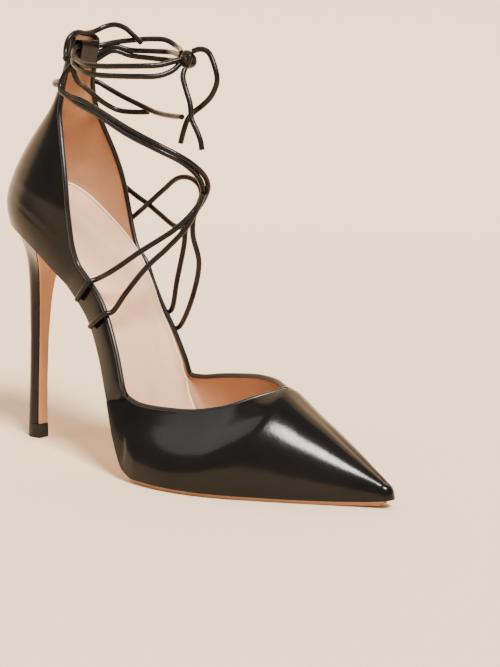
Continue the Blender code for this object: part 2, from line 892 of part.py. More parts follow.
def make_breast(leather):
    """Tan facing down the front of the heel, a part of the sole's flap."""
    rings = heel_rings()[:5] + [flare_ring(breast_top() * k / 7) for k in range(8)]
    forward = np.array([1.0, 0.0, 0.0])
    rows = []
    for ring in rings:
        outer, inner = ring[0], ring[-1]
        edge = unit(inner - outer) * 0.0003
        ends = [outer + edge, inner - edge]
        near = [point + forward * GAP for point in ends]
        far = [point + forward * (GAP + FACING) for point in ends]
        rows.append((near, far))
    points, faces = plank(rows)
    return add_object("heel_breast", points, faces, leather)


def make_lift(rubber):
    rings = []
    for share in (0.0, LIFT_HEIGHT / HEEL_HEIGHT):
        ring = stem_ring(share, ring_turns())
        middle = sum(ring) / len(ring)
        depth = STEM_DEPTH * read(STEM, "depth", share, "height")
        longer = (depth + GAP + FACING) / depth
        back = ring[len(ring) // 2]
        rings.append([np.array([back[0] + (p[0] - back[0]) * longer, p[1], middle[2]]) for p in ring])
    points, faces = lofted(rings)
    return add_object("top_lift", points, faces, rubber)


def casing_loop(inset):
    """Rounded section of the casing inside the back tab, in from its outside by an inset."""
    ends = [counter_point(1.0, -1, level) for level in (0.905, 0.982)]
    forward = np.array([1.0, 0.0, 0.0])
    rise = ends[1] - ends[0]
    up = unit(rise)
    tall = np.linalg.norm(rise) / 2 - inset
    bore = LACE / 2 + 3.6 * GAP
    deep = bore + CASING_WALL - inset
    middle = (ends[0] + ends[1]) / 2 + forward * (CASING_SET + bore + CASING_WALL)
    loop = []
    for k in range(12):
        angle = 2 * math.pi * (k + 0.5) / 12
        side = math.copysign(abs(math.cos(angle)) ** 0.45, math.cos(angle))
        high = math.copysign(abs(math.sin(angle)) ** 0.45, math.sin(angle))
        loop.append(middle + forward * deep * side + up * tall * high)
    return loop


def make_keeper(leather):
    """Casing on the inside of the back tab that the lace runs through."""
    outside, bore = casing_loop(0.0), casing_loop(CASING_WALL)
    points, faces = [], []
    stations = 4
    for k in range(stations + 1):
        shift = np.array([0.0, CASING_WIDTH * (k / stations - 0.5), 0.0])
        points += [point + shift for point in outside]
        points += [point + shift for point in bore]
    for k in range(stations):
        for j in range(12):
            here, beside = 24 * k + j, 24 * k + (j + 1) % 12
            faces.append([here, beside, beside + 24, here + 24])
            faces.append([here + 12, here + 36, beside + 36, beside + 12])
    for k, turned in ((0, False), (stations, True)):
        for j in range(12):
            here, beside = 24 * k + j, 24 * k + (j + 1) % 12
            face = [here, here + 12, beside + 12, beside]
            faces.append(face[::-1] if turned else face)
    return add_object("keeper", points, faces, leather)


def place_of(along, across, height):
    """Point from shares of the shoe's length, ball width, and heel and tab heights."""
    z = HEEL_HEIGHT * min(height, 1.0) + TAB_HEIGHT * max(height - 1.0, 0.0)
    return np.array([along_x(along), BALL_WIDTH * across, z])


def route_points(table):
    return [place_of(*row) for row in table[1:]]


def round_band(share, side):
    """Lace points that run up the outer face of the band and over its top edge."""
    place = ("side", share)
    up = unit(band_point(place, side, 1.0) - band_point(place, side, 0.6))
    ahead = band_point(("side", share + 0.01), side, 0.8) - band_point(("side", share - 0.01), side, 0.8)
    out = side * unit(np.cross(up, ahead))
    clear = WALL + LACE / 2 + 2 * GAP
    line = [band_point(place, side, rise) + out * clear for rise in (0.16, 0.5, 0.85)]
    top = band_point(place, side, 1.0)
    line.append(top + out * clear * 0.85 + up * clear * 0.6)
    if side < 0:
        line.append(top + out * WALL * 0.3 + up * clear * 0.95)
    return line


def smooth_line(points):
    """Points about 1 mm apart on a curve through the route points."""
    line = np.vstack([2 * points[0] - points[1], points, 2 * points[-1] - points[-2]])
    times = [0.0]
    for low, high in zip(line[:-1], line[1:]):
        times.append(times[-1] + math.sqrt(max(np.linalg.norm(high - low), 1e-6)))
    dense = []
    for k in range(1, len(line) - 2):
        a, b, c, d = line[k - 1 : k + 3]
        ta, tb, tc, td = times[k - 1 : k + 3]
        count = max(2, int(np.linalg.norm(c - b) / 0.001) + 1)
        for t in np.linspace(tb, tc, count, endpoint=False):
            ab = (tb - t) / (tb - ta) * a + (t - ta) / (tb - ta) * b
            bc = (tc - t) / (tc - tb) * b + (t - tb) / (tc - tb) * c
            cd = (td - t) / (td - tc) * c + (t - tc) / (td - tc) * d
            abc = (tc - t) / (tc - ta) * ab + (t - ta) / (tc - ta) * bc
            bcd = (td - t) / (td - tb) * bc + (t - tb) / (td - tb) * cd
            dense.append((tc - t) / (tc - tb) * abc + (t - tb) / (tc - tb) * bcd)
    return np.array(dense + [line[-2]])


def knot_place():
    return place_of(0.486, 0.006, 1.846)


def clear_of_knot(line):
    room = KNOT / 2 + 0.20 * LACE
    return np.array([point for point in line if np.linalg.norm(point - knot_place()) > room])


def thinned(line, longest):
    """Fewer points of a line, closest together where it bends."""
    kept = [line[0]]
    before = unit(line[1] - line[0])
    for here, ahead in zip(line[1:-1], line[2:]):
        reach = np.linalg.norm(here - kept[-1])
        turned = math.acos(min(1.0, float(before @ unit(ahead - here))))
        if reach > longest or (reach > 1.3 * LACE and turned > 0.42):
            kept.append(here)
            before = unit(ahead - here)
    if np.linalg.norm(line[-1] - kept[-1]) < LACE:
        kept.pop()
    return kept + [line[-1]]


def tube(line, across, sides):
    """Closed tube of rings round a line."""
    line = [np.asarray(point) for point in line]
    along = unit(line[1] - line[0])
    level = unit(np.cross(along, [0.31, 0.42, 0.85]))
    rings = []
    for k, here in enumerate(line):
        low, high = line[max(k - 1, 0)], line[min(k + 1, len(line) - 1)]
        along = unit(high - low)
        level = unit(level - along * float(level @ along))
        other = np.cross(along, level)
        ring = []
        for j in range(sides):
            angle = 2 * math.pi * j / sides
            ring.append(here + across / 2 * (level * math.cos(angle) + other * math.sin(angle)))
        rings.append(ring)
    return lofted(rings)


def strands_of_net():
    """Lines of the lace's turns and crossings, from the routes and the bands that they go round."""
    outer = [round_band(share, -1) for share in OUTER_LOOPS]
    inner = [round_band(share, 1)[::-1] for share in INNER_LOOPS]
    routes = [route_points(TURN_TOP), route_points(TURN_MID)]
    routes += [route_points(PAIR_TOP)[:-1] + inner[0], route_points(PAIR_LOW)[:-1] + inner[1]]
    routes += [outer[0] + route_points(NEAR_TOP)[1:], outer[1] + route_points(NEAR_LOW)[1:]]
    routes += [route_points(table) for table in (FAR_X, LOW_FAR, LOW_NEAR)]
    return [clear_of_knot(smooth_line(np.array(route))) for route in routes]


def make_lace(leather):
    """Turns and crossings of the lace as one joined solid."""
    net = None
    for number, line in enumerate(strands_of_net()):
        points, faces = tube(thinned(line, 3.4 * LACE), LACE, 6)
        name = "lace_net" if net is None else "strand_%d" % number
        strand = add_object(name, points, faces, leather)
        if net is None:
            net = strand
            continue
        strand.hide_render = True
        strand.display_type = "WIRE"
        join = net.modifiers.new(name, "BOOLEAN")
        join.operation = "UNION"
        join.solver = "EXACT"
        join.object = strand
    return net


def make_knot(leather):
    """Lump of the knot that the bow hangs from."""
    rings = []
    for level in (0.12, 0.3, 0.5, 0.7, 0.88):
        angle = math.pi * level
        ring = []
        for k in range(10):
            turn = 2 * math.pi * k / 10
            flat = np.array([math.cos(turn), 0.92 * math.sin(turn), 0.0]) * math.sin(angle)
            ring.append(knot_place() + KNOT / 2 * (flat - np.array([0.0, 0.0, math.cos(angle)])))
        rings.append(ring)
    points, faces = lofted(rings)
    return add_object("knot", points, faces, leather)


def make_cord(name, table, leather):
    """Free loop or end of the lace, as a round cord."""
    line = thinned(clear_of_knot(smooth_line(np.array(route_points(table)))), 2.6 * LACE)
    path = bpy.data.curves.new(name, "CURVE")
    path.dimensions = "3D"
    path.bevel_depth = LACE / 2
    path.bevel_resolution = 2
    path.use_fill_caps = True
    spline = path.splines.new("POLY")
    spline.points.add(len(line) - 1)
    for target, point in zip(spline.points, line):
        target.co = (*point, 1.0)
    path.materials.append(leather)
    cord = bpy.data.objects.new(name, path)
    bpy.context.scene.collection.objects.link(cord)
    return cord


def add_object(name, points, faces, material):
    mesh = bpy.data.meshes.new(name)
    mesh.from_pydata([tuple(point) for point in points], [], faces)
    mesh.update()
    work = bmesh.new()
    work.from_mesh(mesh)
    bmesh.ops.remove_doubles(work, verts=work.verts, dist=1e-6)
    bmesh.ops.recalc_face_normals(work, faces=work.faces)
    work.to_mesh(mesh)
    work.free()
    mesh.shade_smooth()
    mesh.set_sharp_from_angle(angle=math.radians(40))
    mesh.materials.append(material)
    solid = bpy.data.objects.new(name, mesh)
    bpy.context.scene.collection.objects.link(solid)
    return solid


def finish(name, colour, roughness):
    material = bpy.data.materials.new(name)
    material.use_nodes = True
    shader = material.node_tree.nodes["Principled BSDF"]
    shader.inputs["Base Color"].default_value = (*colour, 1.0)
    shader.inputs["Roughness"].default_value = roughness
    return material


def make_upper(leather):
    points, faces = upper_faces()
    points, faces = shell(points, faces, WALL)
    return add_object("upper", points, faces, leather)


def clear_scene():
    for old in list(bpy.data.objects):
        bpy.data.objects.remove(old, do_unlink=True)


def main():
    clear_scene()
    black = finish("black_leather", (0.012, 0.011, 0.011), 0.22)
    tan = finish("tan_leather", (0.33, 0.14, 0.06), 0.45)
    nude = finish("nude_insole", (0.76, 0.52, 0.36), 0.50)
    lace = finish("lace_leather", (0.016, 0.014, 0.013), 0.34)
    rubber = finish("lift_rubber", (0.015, 0.014, 0.014), 0.50)
    make_upper(black)
    make_outsole(tan)
    make_insole(nude)
    make_heel(black)
    make_breast(tan)
    make_lift(rubber)
    make_keeper(black)
    make_lace(lace)
    make_knot(lace)
    make_cord("bow_loop", BOW_LOOP, lace)
    make_cord("bow_strand", BOW_STRAND, lace)
    make_cord("top_loop", TOP_LOOP, lace)


main()
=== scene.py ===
"""Dressed view of the lace-up stiletto pump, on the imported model."""

import math

import bmesh
import bpy
import numpy as np
from mathutils import Matrix, Vector


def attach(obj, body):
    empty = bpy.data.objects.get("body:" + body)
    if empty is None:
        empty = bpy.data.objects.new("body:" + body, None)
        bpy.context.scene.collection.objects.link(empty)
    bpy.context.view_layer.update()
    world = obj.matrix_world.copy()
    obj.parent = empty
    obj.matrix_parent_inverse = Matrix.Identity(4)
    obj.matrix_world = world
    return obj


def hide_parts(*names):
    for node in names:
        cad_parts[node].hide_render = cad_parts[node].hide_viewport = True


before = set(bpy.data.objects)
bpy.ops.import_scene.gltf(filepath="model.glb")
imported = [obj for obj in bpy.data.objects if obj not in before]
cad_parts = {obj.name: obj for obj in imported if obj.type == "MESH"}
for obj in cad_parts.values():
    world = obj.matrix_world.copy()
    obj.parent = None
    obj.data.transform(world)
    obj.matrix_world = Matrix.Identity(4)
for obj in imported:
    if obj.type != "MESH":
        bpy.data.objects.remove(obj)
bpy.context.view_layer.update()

# Camera: place, right, up and back axes, and focal length in millimetres over a 36 mm tall frame
CAMERA_AT = (0.49512, -0.66208, 0.21254)
CAMERA_RIGHT = (0.81823, 0.57391, 0.03363)
CAMERA_UP = (-0.12716, 0.12363, 0.98415)
CAMERA_BACK = (0.56065, -0.80954, 0.17414)
CAMERA_LENS = 97.15


def place_camera():
    lens = bpy.data.cameras.new("camera")
    lens.sensor_fit = "VERTICAL"
    lens.sensor_height = 36.0
    lens.lens = CAMERA_LENS
    lens.clip_start = 0.02
    camera = bpy.data.objects.new("camera", lens)
    axes = Matrix((CAMERA_RIGHT, CAMERA_UP, CAMERA_BACK)).transposed().to_4x4()
    camera.matrix_world = Matrix.Translation(CAMERA_AT) @ axes
    bpy.context.scene.collection.objects.link(camera)
    bpy.context.scene.camera = camera


place_camera()

# Sizes of the shoe, as in the CAD source
SHOE_LENGTH = 0.2190
HEEL_HEIGHT = 0.1050
BALL_WIDTH = 0.0724
HEEL_ASIDE = 0.0052
SOLE = 0.0020
WALL = 0.0017
GAP = 0.0003
BAND_HEIGHT = 0.0122
TAB_HEIGHT = 0.1025
COUNTER_HALF_WIDTH = 0.0240
THROAT_HEIGHT = 0.0450
ARCH = 0.0030
INSOLE_SEAT = 0.0110
INSOLE_RIM = 0.0205
SEAM_STEP = 0.0005
BREAST_AT = 0.1320
LIFT_HEIGHT = 0.0070
STEM_DEPTH = 0.0064
STEM_WIDTH = 0.0080
STEM_FOOT = 0.0570
LACE = 0.0026
CASING_WALL = 0.0006
CASING_WIDTH = 0.0120
CASING_SET = 0.0024
KNOT = 0.0096
OUTER_LOOPS = (0.270, 0.316)
INNER_LOOPS = (0.327, 0.346)

# Underside of the sole from the toe to the back of the seat: shares of SHOE_LENGTH, of HEEL_HEIGHT and, for
# the inner edge's rise over the outer, of ARCH
UNDERSIDE = (
    ("along", "height", "arch"),
    (1.000, 0.016, 0.00),
    (0.950, 0.008, 0.00),
    (0.885, 0.002, 0.00),
    (0.810, 0.000, 0.00),
    (0.700, 0.000, 0.00),
    (0.560, 0.000, 0.00),
    (0.500, 0.002, 0.05),
    (0.458, 0.033, 0.25),
    (0.418, 0.158, 0.60),
    (0.382, 0.345, 0.90),
    (0.343, 0.522, 1.00),
    (0.300, 0.648, 1.00),
    (0.250, 0.747, 0.85),
    (0.200, 0.830, 0.60),
    (0.140, 0.920, 0.30),
    (0.085, 0.980, 0.10),
    (0.040, 1.008, 0.00),
    (0.000, 1.022, 0.00),
)

# Height of the side bands above the feather edge, as shares of BAND_HEIGHT
BAND = (
    ("along", "lateral", "medial"),
    (0.400, 1.00, 0.55),
    (0.355, 1.00, 0.58),
    (0.325, 1.02, 0.62),
    (0.290, 1.08, 0.84),
    (0.250, 1.06, 1.24),
    (0.200, 1.00, 1.28),
    (0.080, 1.00, 1.10),
    (0.010, 1.00, 1.00),
    (0.000, 1.00, 1.00),
)

# Foot bed: its thickness in the middle as a share of INSOLE_SEAT, and how far its edges
# reach up the wall as shares of INSOLE_RIM
INSOLE = (
    ("along", "middle", "lateral", "medial"),
    (1.000, 0.20, 0.10, 0.10),
    (0.560, 0.21, 0.10, 0.10),
    (0.480, 0.30, 0.17, 0.16),
    (0.430, 0.44, 0.30, 0.22),
    (0.380, 0.60, 0.45, 0.26),
    (0.330, 0.76, 0.48, 0.32),
    (0.290, 0.88, 0.52, 0.52),
    (0.250, 0.94, 0.56, 0.72),
    (0.200, 0.98, 0.72, 0.92),
    (0.100, 1.00, 0.95, 1.06),
    (0.000, 1.00, 0.95, 0.95),
)

# Outline where the upper meets the sole: share of SHOE_LENGTH, then each side as a share of BALL_WIDTH
OUTLINE = (
    ("along", "lateral", "medial"),
    (0.985, -0.063, 0.143),
    (0.935, 0.012, 0.215),
    (0.880, 0.105, 0.305),
    (0.820, 0.210, 0.378),
    (0.760, 0.312, 0.435),
    (0.700, 0.405, 0.472),
    (0.640, 0.470, 0.488),
    (0.570, 0.500, 0.480),
    (0.500, 0.482, 0.450),
    (0.440, 0.440, 0.400),
    (0.400, 0.395, 0.355),
    (0.350, 0.325, 0.300),
    (0.300, 0.262, 0.275),
    (0.230, 0.222, 0.280),
)

# Ridge of the vamp from the toe to the throat. Feather and ridge places as shares of SHOE_LENGTH, across as a
# share of BALL_WIDTH, height as a share of THROAT_HEIGHT
RIDGE = (
    ("feather", "along", "across", "height"),
    (1.000, 0.988, 0.098, 0.205),
    (0.985, 0.978, 0.099, 0.238),
    (0.940, 0.940, 0.102, 0.352),
    (0.890, 0.892, 0.104, 0.498),
    (0.840, 0.844, 0.102, 0.652),
    (0.785, 0.793, 0.095, 0.812),
    (0.725, 0.742, 0.080, 1.000),
)

# Toplines from the throat to the waist, in the same columns
TOPLINE_LATERAL = (
    ("feather", "along", "across", "height"),
    (0.725, 0.742, 0.080, 1.000),
    (0.680, 0.705, -0.080, 0.925),
    (0.630, 0.657, -0.215, 0.825),
    (0.575, 0.585, -0.315, 0.765),
    (0.520, 0.515, -0.355, 0.760),
    (0.465, 0.470, -0.362, 0.775),
    (0.388, 0.443, -0.358, 0.825),
)
TOPLINE_MEDIAL = (
    ("feather", "along", "across", "height"),
    (0.725, 0.742, 0.080, 1.000),
    (0.680, 0.695, 0.190, 1.020),
    (0.630, 0.635, 0.275, 1.010),
    (0.575, 0.570, 0.345, 0.965),
    (0.520, 0.505, 0.380, 0.915),
    (0.465, 0.455, 0.390, 0.865),
    (0.380, 0.419, 0.385, 0.850),
)

# Slopes of the vamp's sections in degrees: leaving the feather edge outward, and reaching the top edge
SLOPES = (
    ("feather", "lateral_flare", "lateral_lean", "medial_flare", "medial_lean"),
    (1.000, -6, 0, -6, 0),
    (0.985, 6, 0, 4, 0),
    (0.940, 14, 0, 4, 4),
    (0.890, 16, 0, 4, 8),
    (0.840, 16, 0, 4, 12),
    (0.785, 15, 0, 4, 14),
    (0.725, 14, 10, 4, 14),
    (0.680, 14, 30, 4, 34),
    (0.630, 12, 52, 4, 52),
    (0.575, 10, 66, 4, 66),
    (0.520, 9, 74, 4, 74),
    (0.465, 8, 78, 4, 80),
    (0.385, 5, 86, 3, 86),
)

# Levels of the counter and its tab: each side's free front edge and the back, as shares of SHOE_LENGTH, each
# side's width as a share of COUNTER_HALF_WIDTH and heights above the band as shares of TAB_HEIGHT
COUNTER = (
    ("level", "front", "inner_front", "front_rise", "lateral", "medial", "back", "back_rise", "swell"),
    (0.00, 0.270, 0.270, 0.000, 0.98, 0.78, 0.008, 0.000, 0.09),
    (0.10, 0.254, 0.258, 0.092, 0.99, 0.80, 0.009, 0.040, 0.07),
    (0.23, 0.243, 0.241, 0.225, 0.99, 0.84, 0.017, 0.100, 0.05),
    (0.37, 0.229, 0.226, 0.366, 0.93, 0.82, 0.033, 0.172, 0.03),
    (0.50, 0.211, 0.209, 0.480, 0.82, 0.75, 0.055, 0.246, 0.01),
    (0.62, 0.188, 0.189, 0.594, 0.66, 0.63, 0.088, 0.338, 0.00),
    (0.74, 0.168, 0.172, 0.706, 0.49, 0.52, 0.125, 0.436, 0.00),
    (0.84, 0.166, 0.168, 0.805, 0.38, 0.44, 0.144, 0.525, 0.00),
    (0.92, 0.178, 0.178, 0.915, 0.34, 0.39, 0.158, 0.640, 0.00),
    (1.00, 0.189, 0.189, 1.030, 0.31, 0.36, 0.172, 0.780, 0.00),
)

# Heel below its flare: share of HEEL_HEIGHT, back as a share of SHOE_LENGTH, then shares of the stem's sizes
STEM = (
    ("height", "back", "depth", "width"),
    (0.000, 0.0440, 1.18, 1.08),
    (0.070, 0.0445, 1.15, 1.04),
    (0.250, 0.0460, 1.04, 0.98),
    (0.460, 0.0465, 1.06, 1.02),
    (0.600, 0.0460, 1.16, 1.24),
)

# How the heel spreads from its stem to the rim under the seat
FLARE = (
    ("rise", "spread"),
    (0.00, 0.00),
    (0.20, 0.03),
    (0.40, 0.08),
    (0.60, 0.18),
    (0.75, 0.36),
    (0.88, 0.66),
    (1.00, 1.00),
)

# Lace routes: shares of SHOE_LENGTH from the heel, of BALL_WIDTH from the axis, and of HEEL_HEIGHT, with
# shares of TAB_HEIGHT above 1. The turns run round the ankle and through the casing.
TURN_TOP = (
    ("along", "across", "height"),
    (0.457, 0.055, 1.872),
    (0.357, 0.388, 1.896),
    (0.328, 0.394, 1.921),
    (0.287, 0.377, 1.923),
    (0.253, 0.337, 1.915),
    (0.221, 0.268, 1.903),
    (0.193, 0.170, 1.882),
    (0.191, 0.069, 1.881),
    (0.192, -0.026, 1.878),
    (0.211, -0.124, 1.844),
    (0.285, -0.265, 1.806),
    (0.334, -0.283, 1.803),
    (0.377, -0.265, 1.807),
    (0.417, -0.215, 1.811),
    (0.448, -0.134, 1.818),
    (0.470, -0.028, 1.842),
)

TURN_MID = (
    ("along", "across", "height"),
    (0.458, 0.041, 1.858),
    (0.334, 0.394, 1.867),
    (0.288, 0.378, 1.867),
    (0.246, 0.325, 1.868),
    (0.219, 0.261, 1.882),
    (0.189, 0.170, 1.846),
    (0.187, 0.069, 1.845),
    (0.190, -0.026, 1.843),
    (0.210, -0.124, 1.810),
    (0.278, -0.259, 1.772),
    (0.323, -0.283, 1.763),
    (0.373, -0.268, 1.763),
    (0.413, -0.220, 1.765),
    (0.446, -0.143, 1.770),
    (0.463, -0.068, 1.793),
    (0.472, -0.014, 1.829),
)

# The two long strands that leave the tab, cross the instep and go down to the inner band
PAIR_TOP = (
    ("along", "across", "height"),
    (0.459, 0.028, 1.841),
    (0.334, 0.394, 1.830),
    (0.288, 0.378, 1.835),
    (0.246, 0.326, 1.843),
    (0.217, 0.255, 1.863),
    (0.185, 0.170, 1.812),
    (0.184, 0.069, 1.810),
    (0.185, -0.026, 1.807),
    (0.192, -0.090, 1.785),
    (0.182, -0.124, 1.739),
    (0.182, -0.152, 1.689),
    (0.210, -0.180, 1.660),
    (0.258, -0.221, 1.643),
    (0.307, -0.249, 1.614),
    (0.414, -0.290, 1.531),
    (0.483, -0.249, 1.469),
    (0.522, -0.166, 1.420),
    (0.536, -0.083, 1.379),
    (0.540, 0.000, 1.333),
    (0.535, 0.055, 1.285),
    (0.506, 0.124, 1.214),
    (0.467, 0.180, 1.140),
    (0.439, 0.221, 1.072),
    (0.428, 0.249, 0.989),
    (0.405, 0.276, 0.822),
    (0.374, 0.318, 0.658),
)

PAIR_LOW = (
    ("along", "across", "height"),
    (0.191, -0.166, 1.672),
    (0.253, -0.221, 1.625),
    (0.311, -0.262, 1.592),
    (0.413, -0.304, 1.509),
    (0.481, -0.262, 1.451),
    (0.518, -0.180, 1.406),
    (0.529, -0.097, 1.365),
    (0.530, -0.014, 1.318),
    (0.525, 0.041, 1.270),
    (0.502, 0.097, 1.205),
    (0.480, 0.138, 1.140),
    (0.465, 0.193, 1.046),
    (0.473, 0.235, 0.922),
    (0.453, 0.262, 0.765),
    (0.408, 0.318, 0.502),
)

# Strands that start at the outer band, and the two that cross behind the tab
NEAR_TOP = (
    ("along", "across", "height"),
    (0.335, -0.345, 0.826),
    (0.374, -0.290, 0.894),
    (0.422, -0.193, 0.983),
    (0.479, -0.055, 1.090),
    (0.501, 0.041, 1.167),
    (0.504, 0.110, 1.223),
    (0.487, 0.166, 1.272),
    (0.443, 0.235, 1.303),
    (0.400, 0.276, 1.294),
    (0.346, 0.331, 1.226),
    (0.297, 0.359, 1.150),
    (0.248, 0.401, 1.081),
    (0.203, 0.421, 1.013),
)

NEAR_LOW = (
    ("along", "across", "height"),
    (0.391, -0.387, 0.705),
    (0.416, -0.304, 0.807),
    (0.442, -0.193, 0.921),
    (0.468, -0.110, 0.996),
    (0.495, -0.014, 1.091),
    (0.508, 0.055, 1.181),
    (0.528, 0.041, 1.257),
)

FAR_X = (
    ("along", "across", "height"),
    (0.445, 0.207, 1.074),
    (0.402, 0.249, 1.072),
    (0.342, 0.318, 1.113),
    (0.290, 0.387, 1.148),
    (0.253, 0.407, 1.178),
    (0.217, 0.421, 1.215),
    (0.193, 0.414, 1.254),
)

LOW_FAR = (
    ("along", "across", "height"),
    (0.183, -0.142, 1.706),
    (0.153, -0.099, 1.702),
    (0.124, 0.014, 1.710),
    (0.122, 0.104, 1.715),
    (0.142, 0.214, 1.720),
    (0.169, 0.276, 1.712),
    (0.186, 0.304, 1.690),
    (0.219, 0.331, 1.655),
    (0.276, 0.331, 1.615),
    (0.329, 0.290, 1.589),
    (0.407, 0.166, 1.583),
    (0.458, 0.069, 1.587),
)

LOW_NEAR = (
    ("along", "across", "height"),
    (0.192, -0.076, 1.790),
    (0.198, -0.041, 1.726),
    (0.191, 0.055, 1.697),
    (0.190, 0.152, 1.659),
    (0.200, 0.235, 1.617),
    (0.221, 0.304, 1.585),
    (0.259, 0.331, 1.580),
    (0.299, 0.331, 1.585),
)

# Loop and ends that hang from the knot, and the loop that stands over the casing
BOW_LOOP = (
    ("along", "across", "height"),
    (0.503, -0.014, 1.884),
    (0.520, -0.014, 1.894),
    (0.545, -0.028, 1.883),
    (0.567, -0.041, 1.816),
    (0.573, -0.041, 1.760),
    (0.561, -0.041, 1.698),
    (0.539, -0.041, 1.652),
    (0.516, -0.041, 1.618),
    (0.501, -0.041, 1.585),
    (0.495, -0.055, 1.536),
    (0.487, -0.055, 1.477),
)

BOW_STRAND = (
    ("along", "across", "height"),
    (0.489, -0.028, 1.817),
    (0.492, -0.069, 1.774),
    (0.508, -0.097, 1.715),
    (0.523, -0.110, 1.655),
    (0.531, -0.124, 1.591),
    (0.543, -0.124, 1.549),
    (0.555, -0.124, 1.502),
    (0.560, -0.124, 1.459),
)

TOP_LOOP = (
    ("along", "across", "height"),
    (0.200, -0.174, 1.834),
    (0.203, -0.171, 1.818),
    (0.192, -0.138, 1.858),
    (0.193, -0.110, 1.917),
    (0.196, -0.041, 1.943),
    (0.194, 0.055, 1.941),
    (0.193, 0.152, 1.951),
    (0.202, 0.221, 1.973),
    (0.219, 0.262, 1.984),
    (0.240, 0.290, 1.970),
    (0.262, 0.304, 1.935),
    (0.282, 0.304, 1.905),
)


def column(table, name):
    """One named column of a table, in the order of its rows."""
    place = table[0].index(name)
    return np.array([row[place] for row in table[1:]], float)


def smooth_read(places, values, at):
    """Value at a place, by a curve through the rows that never overshoots them."""
    if places[0] > places[-1]:
        places, values = places[::-1], values[::-1]
    step = np.diff(places)
    slope = np.diff(values) / step
    grade = np.zeros(len(values))
    grade[0], grade[-1] = slope[0], slope[-1]
    for k in range(1, len(values) - 1):
        if slope[k - 1] * slope[k] > 0:
            near = 2 * step[k] + step[k - 1]
            far = step[k] + 2 * step[k - 1]
            grade[k] = (near + far) / (near / slope[k - 1] + far / slope[k])
    k = int(np.clip(np.searchsorted(places, at) - 1, 0, len(step) - 1))
    t = min(max((at - places[k]) / step[k], 0.0), 1.0)
    rise = values[k + 1] - values[k]
    return (
        values[k]
        + rise * t * t * (3 - 2 * t)
        + step[k] * t * (1 - t) * (grade[k] * (1 - t) - grade[k + 1] * t)
    )


def read(table, name, at, by):
    """Value of a named column where the column named by equals at."""
    return float(smooth_read(column(table, by), column(table, name), at))


def unit(vector):
    vector = np.asarray(vector, float)
    return vector / np.linalg.norm(vector)


def along_x(share):
    """X of a share of the shoe's length, 0 at the back of the counter and 1 at the toe."""
    return (share - 0.5) * SHOE_LENGTH


def underside(share):
    """Point of the sole's underside on the shoe's axis, and the direction out of it, up into the shoe."""
    delta = 0.004
    height = HEEL_HEIGHT * read(UNDERSIDE, "height", share, "along")
    ahead = min(share + delta, 1.0)
    behind = max(share - delta, 0.0)
    higher = read(UNDERSIDE, "height", ahead, "along")
    lower = read(UNDERSIDE, "height", behind, "along")
    rise = HEEL_HEIGHT * (higher - lower)
    run = (ahead - behind) * SHOE_LENGTH
    return np.array([along_x(share), 0.0, height]), unit([-rise, 0.0, run])


def outline(share, side):
    """Y of the feather edge at a share of the length, on side -1, the outer, or +1, the inner."""
    name = "lateral" if side < 0 else "medial"
    return side * BALL_WIDTH * read(OUTLINE, name, share, "along")


def seat_front():
    return column(OUTLINE, "along")[-1]


def seat_curve(front, back, wide, middle, swell, turn):
    """Plan of a section round the heel: turn 0 at its front edge and 1 at the back of the heel."""
    angle = turn * math.pi / 2
    bend = 2 / 2.08
    x = front - (front - back) * math.sin(angle) ** bend
    half = wide * math.cos(angle) ** bend * (1 + swell * math.sin(2 * angle)) if turn < 1 else 0.0
    return x, middle + half


def feather(column_place, side):
    """Feather edge at a column: toe (turn), side (share) or seat (turn), with the shoe's inward direction."""
    kind, place = column_place
    share = place
    if kind == "toe":
        last = column(OUTLINE, "along")[0]
        middle = (outline(last, 1) + outline(last, -1)) / 2
        half = abs(outline(last, side) - middle)
        angle = place * math.pi / 2
        share = last + (1 - last) * math.cos(angle)
        point, up = underside(share)
        y = middle + side * half * math.sin(angle)
        out = unit([math.cos(angle), side * math.sin(angle), 0.0])
    elif kind == "side":
        point, up = underside(share)
        y = outline(share, side)
        delta = 0.01
        low, high = max(share - delta, seat_front()), min(share + delta, 0.985)
        turn = (outline(high, side) - outline(low, side)) / ((high - low) * SHOE_LENGTH)
        out = unit([-side * turn, side, 0.0]) if share > 0.5 else unit([0.0, side, 0.0])
    else:
        start = seat_front()
        wide = abs(outline(start, side) - HEEL_ASIDE)
        share, y = seat_curve(start, 0.006, wide, 0.0, 0.16, place)
        y = HEEL_ASIDE + side * y
        point, up = underside(share)
        angle = place * math.pi / 2
        out = unit([-math.sin(angle), side * math.cos(angle), 0.0])
    point[1] = y
    if side > 0:
        point[2] += ARCH * read(UNDERSIDE, "arch", share, "along")
    return point, up, out


def bezier(start, first, second, end, t):
    s = 1 - t
    return s**3 * start + 3 * s * s * t * first + 3 * s * t * t * second + t**3 * end


def topline(side):
    return TOPLINE_LATERAL if side < 0 else TOPLINE_MEDIAL


def vamp_top(share, side):
    """Ridge or topline point that belongs to a share of the feather edge."""
    table = RIDGE if share >= column(RIDGE, "feather")[-1] else topline(side)
    return np.array(
        [
            along_x(read(table, "along", share, "feather")),
            BALL_WIDTH * read(table, "across", share, "feather"),
            THROAT_HEIGHT * read(table, "height", share, "feather"),
        ]
    )


def vamp_share(column_place):
    kind, place = column_place
    if kind == "toe":
        last = column(OUTLINE, "along")[0]
        return last + (1 - last) * math.cos(place * math.pi / 2)
    return place


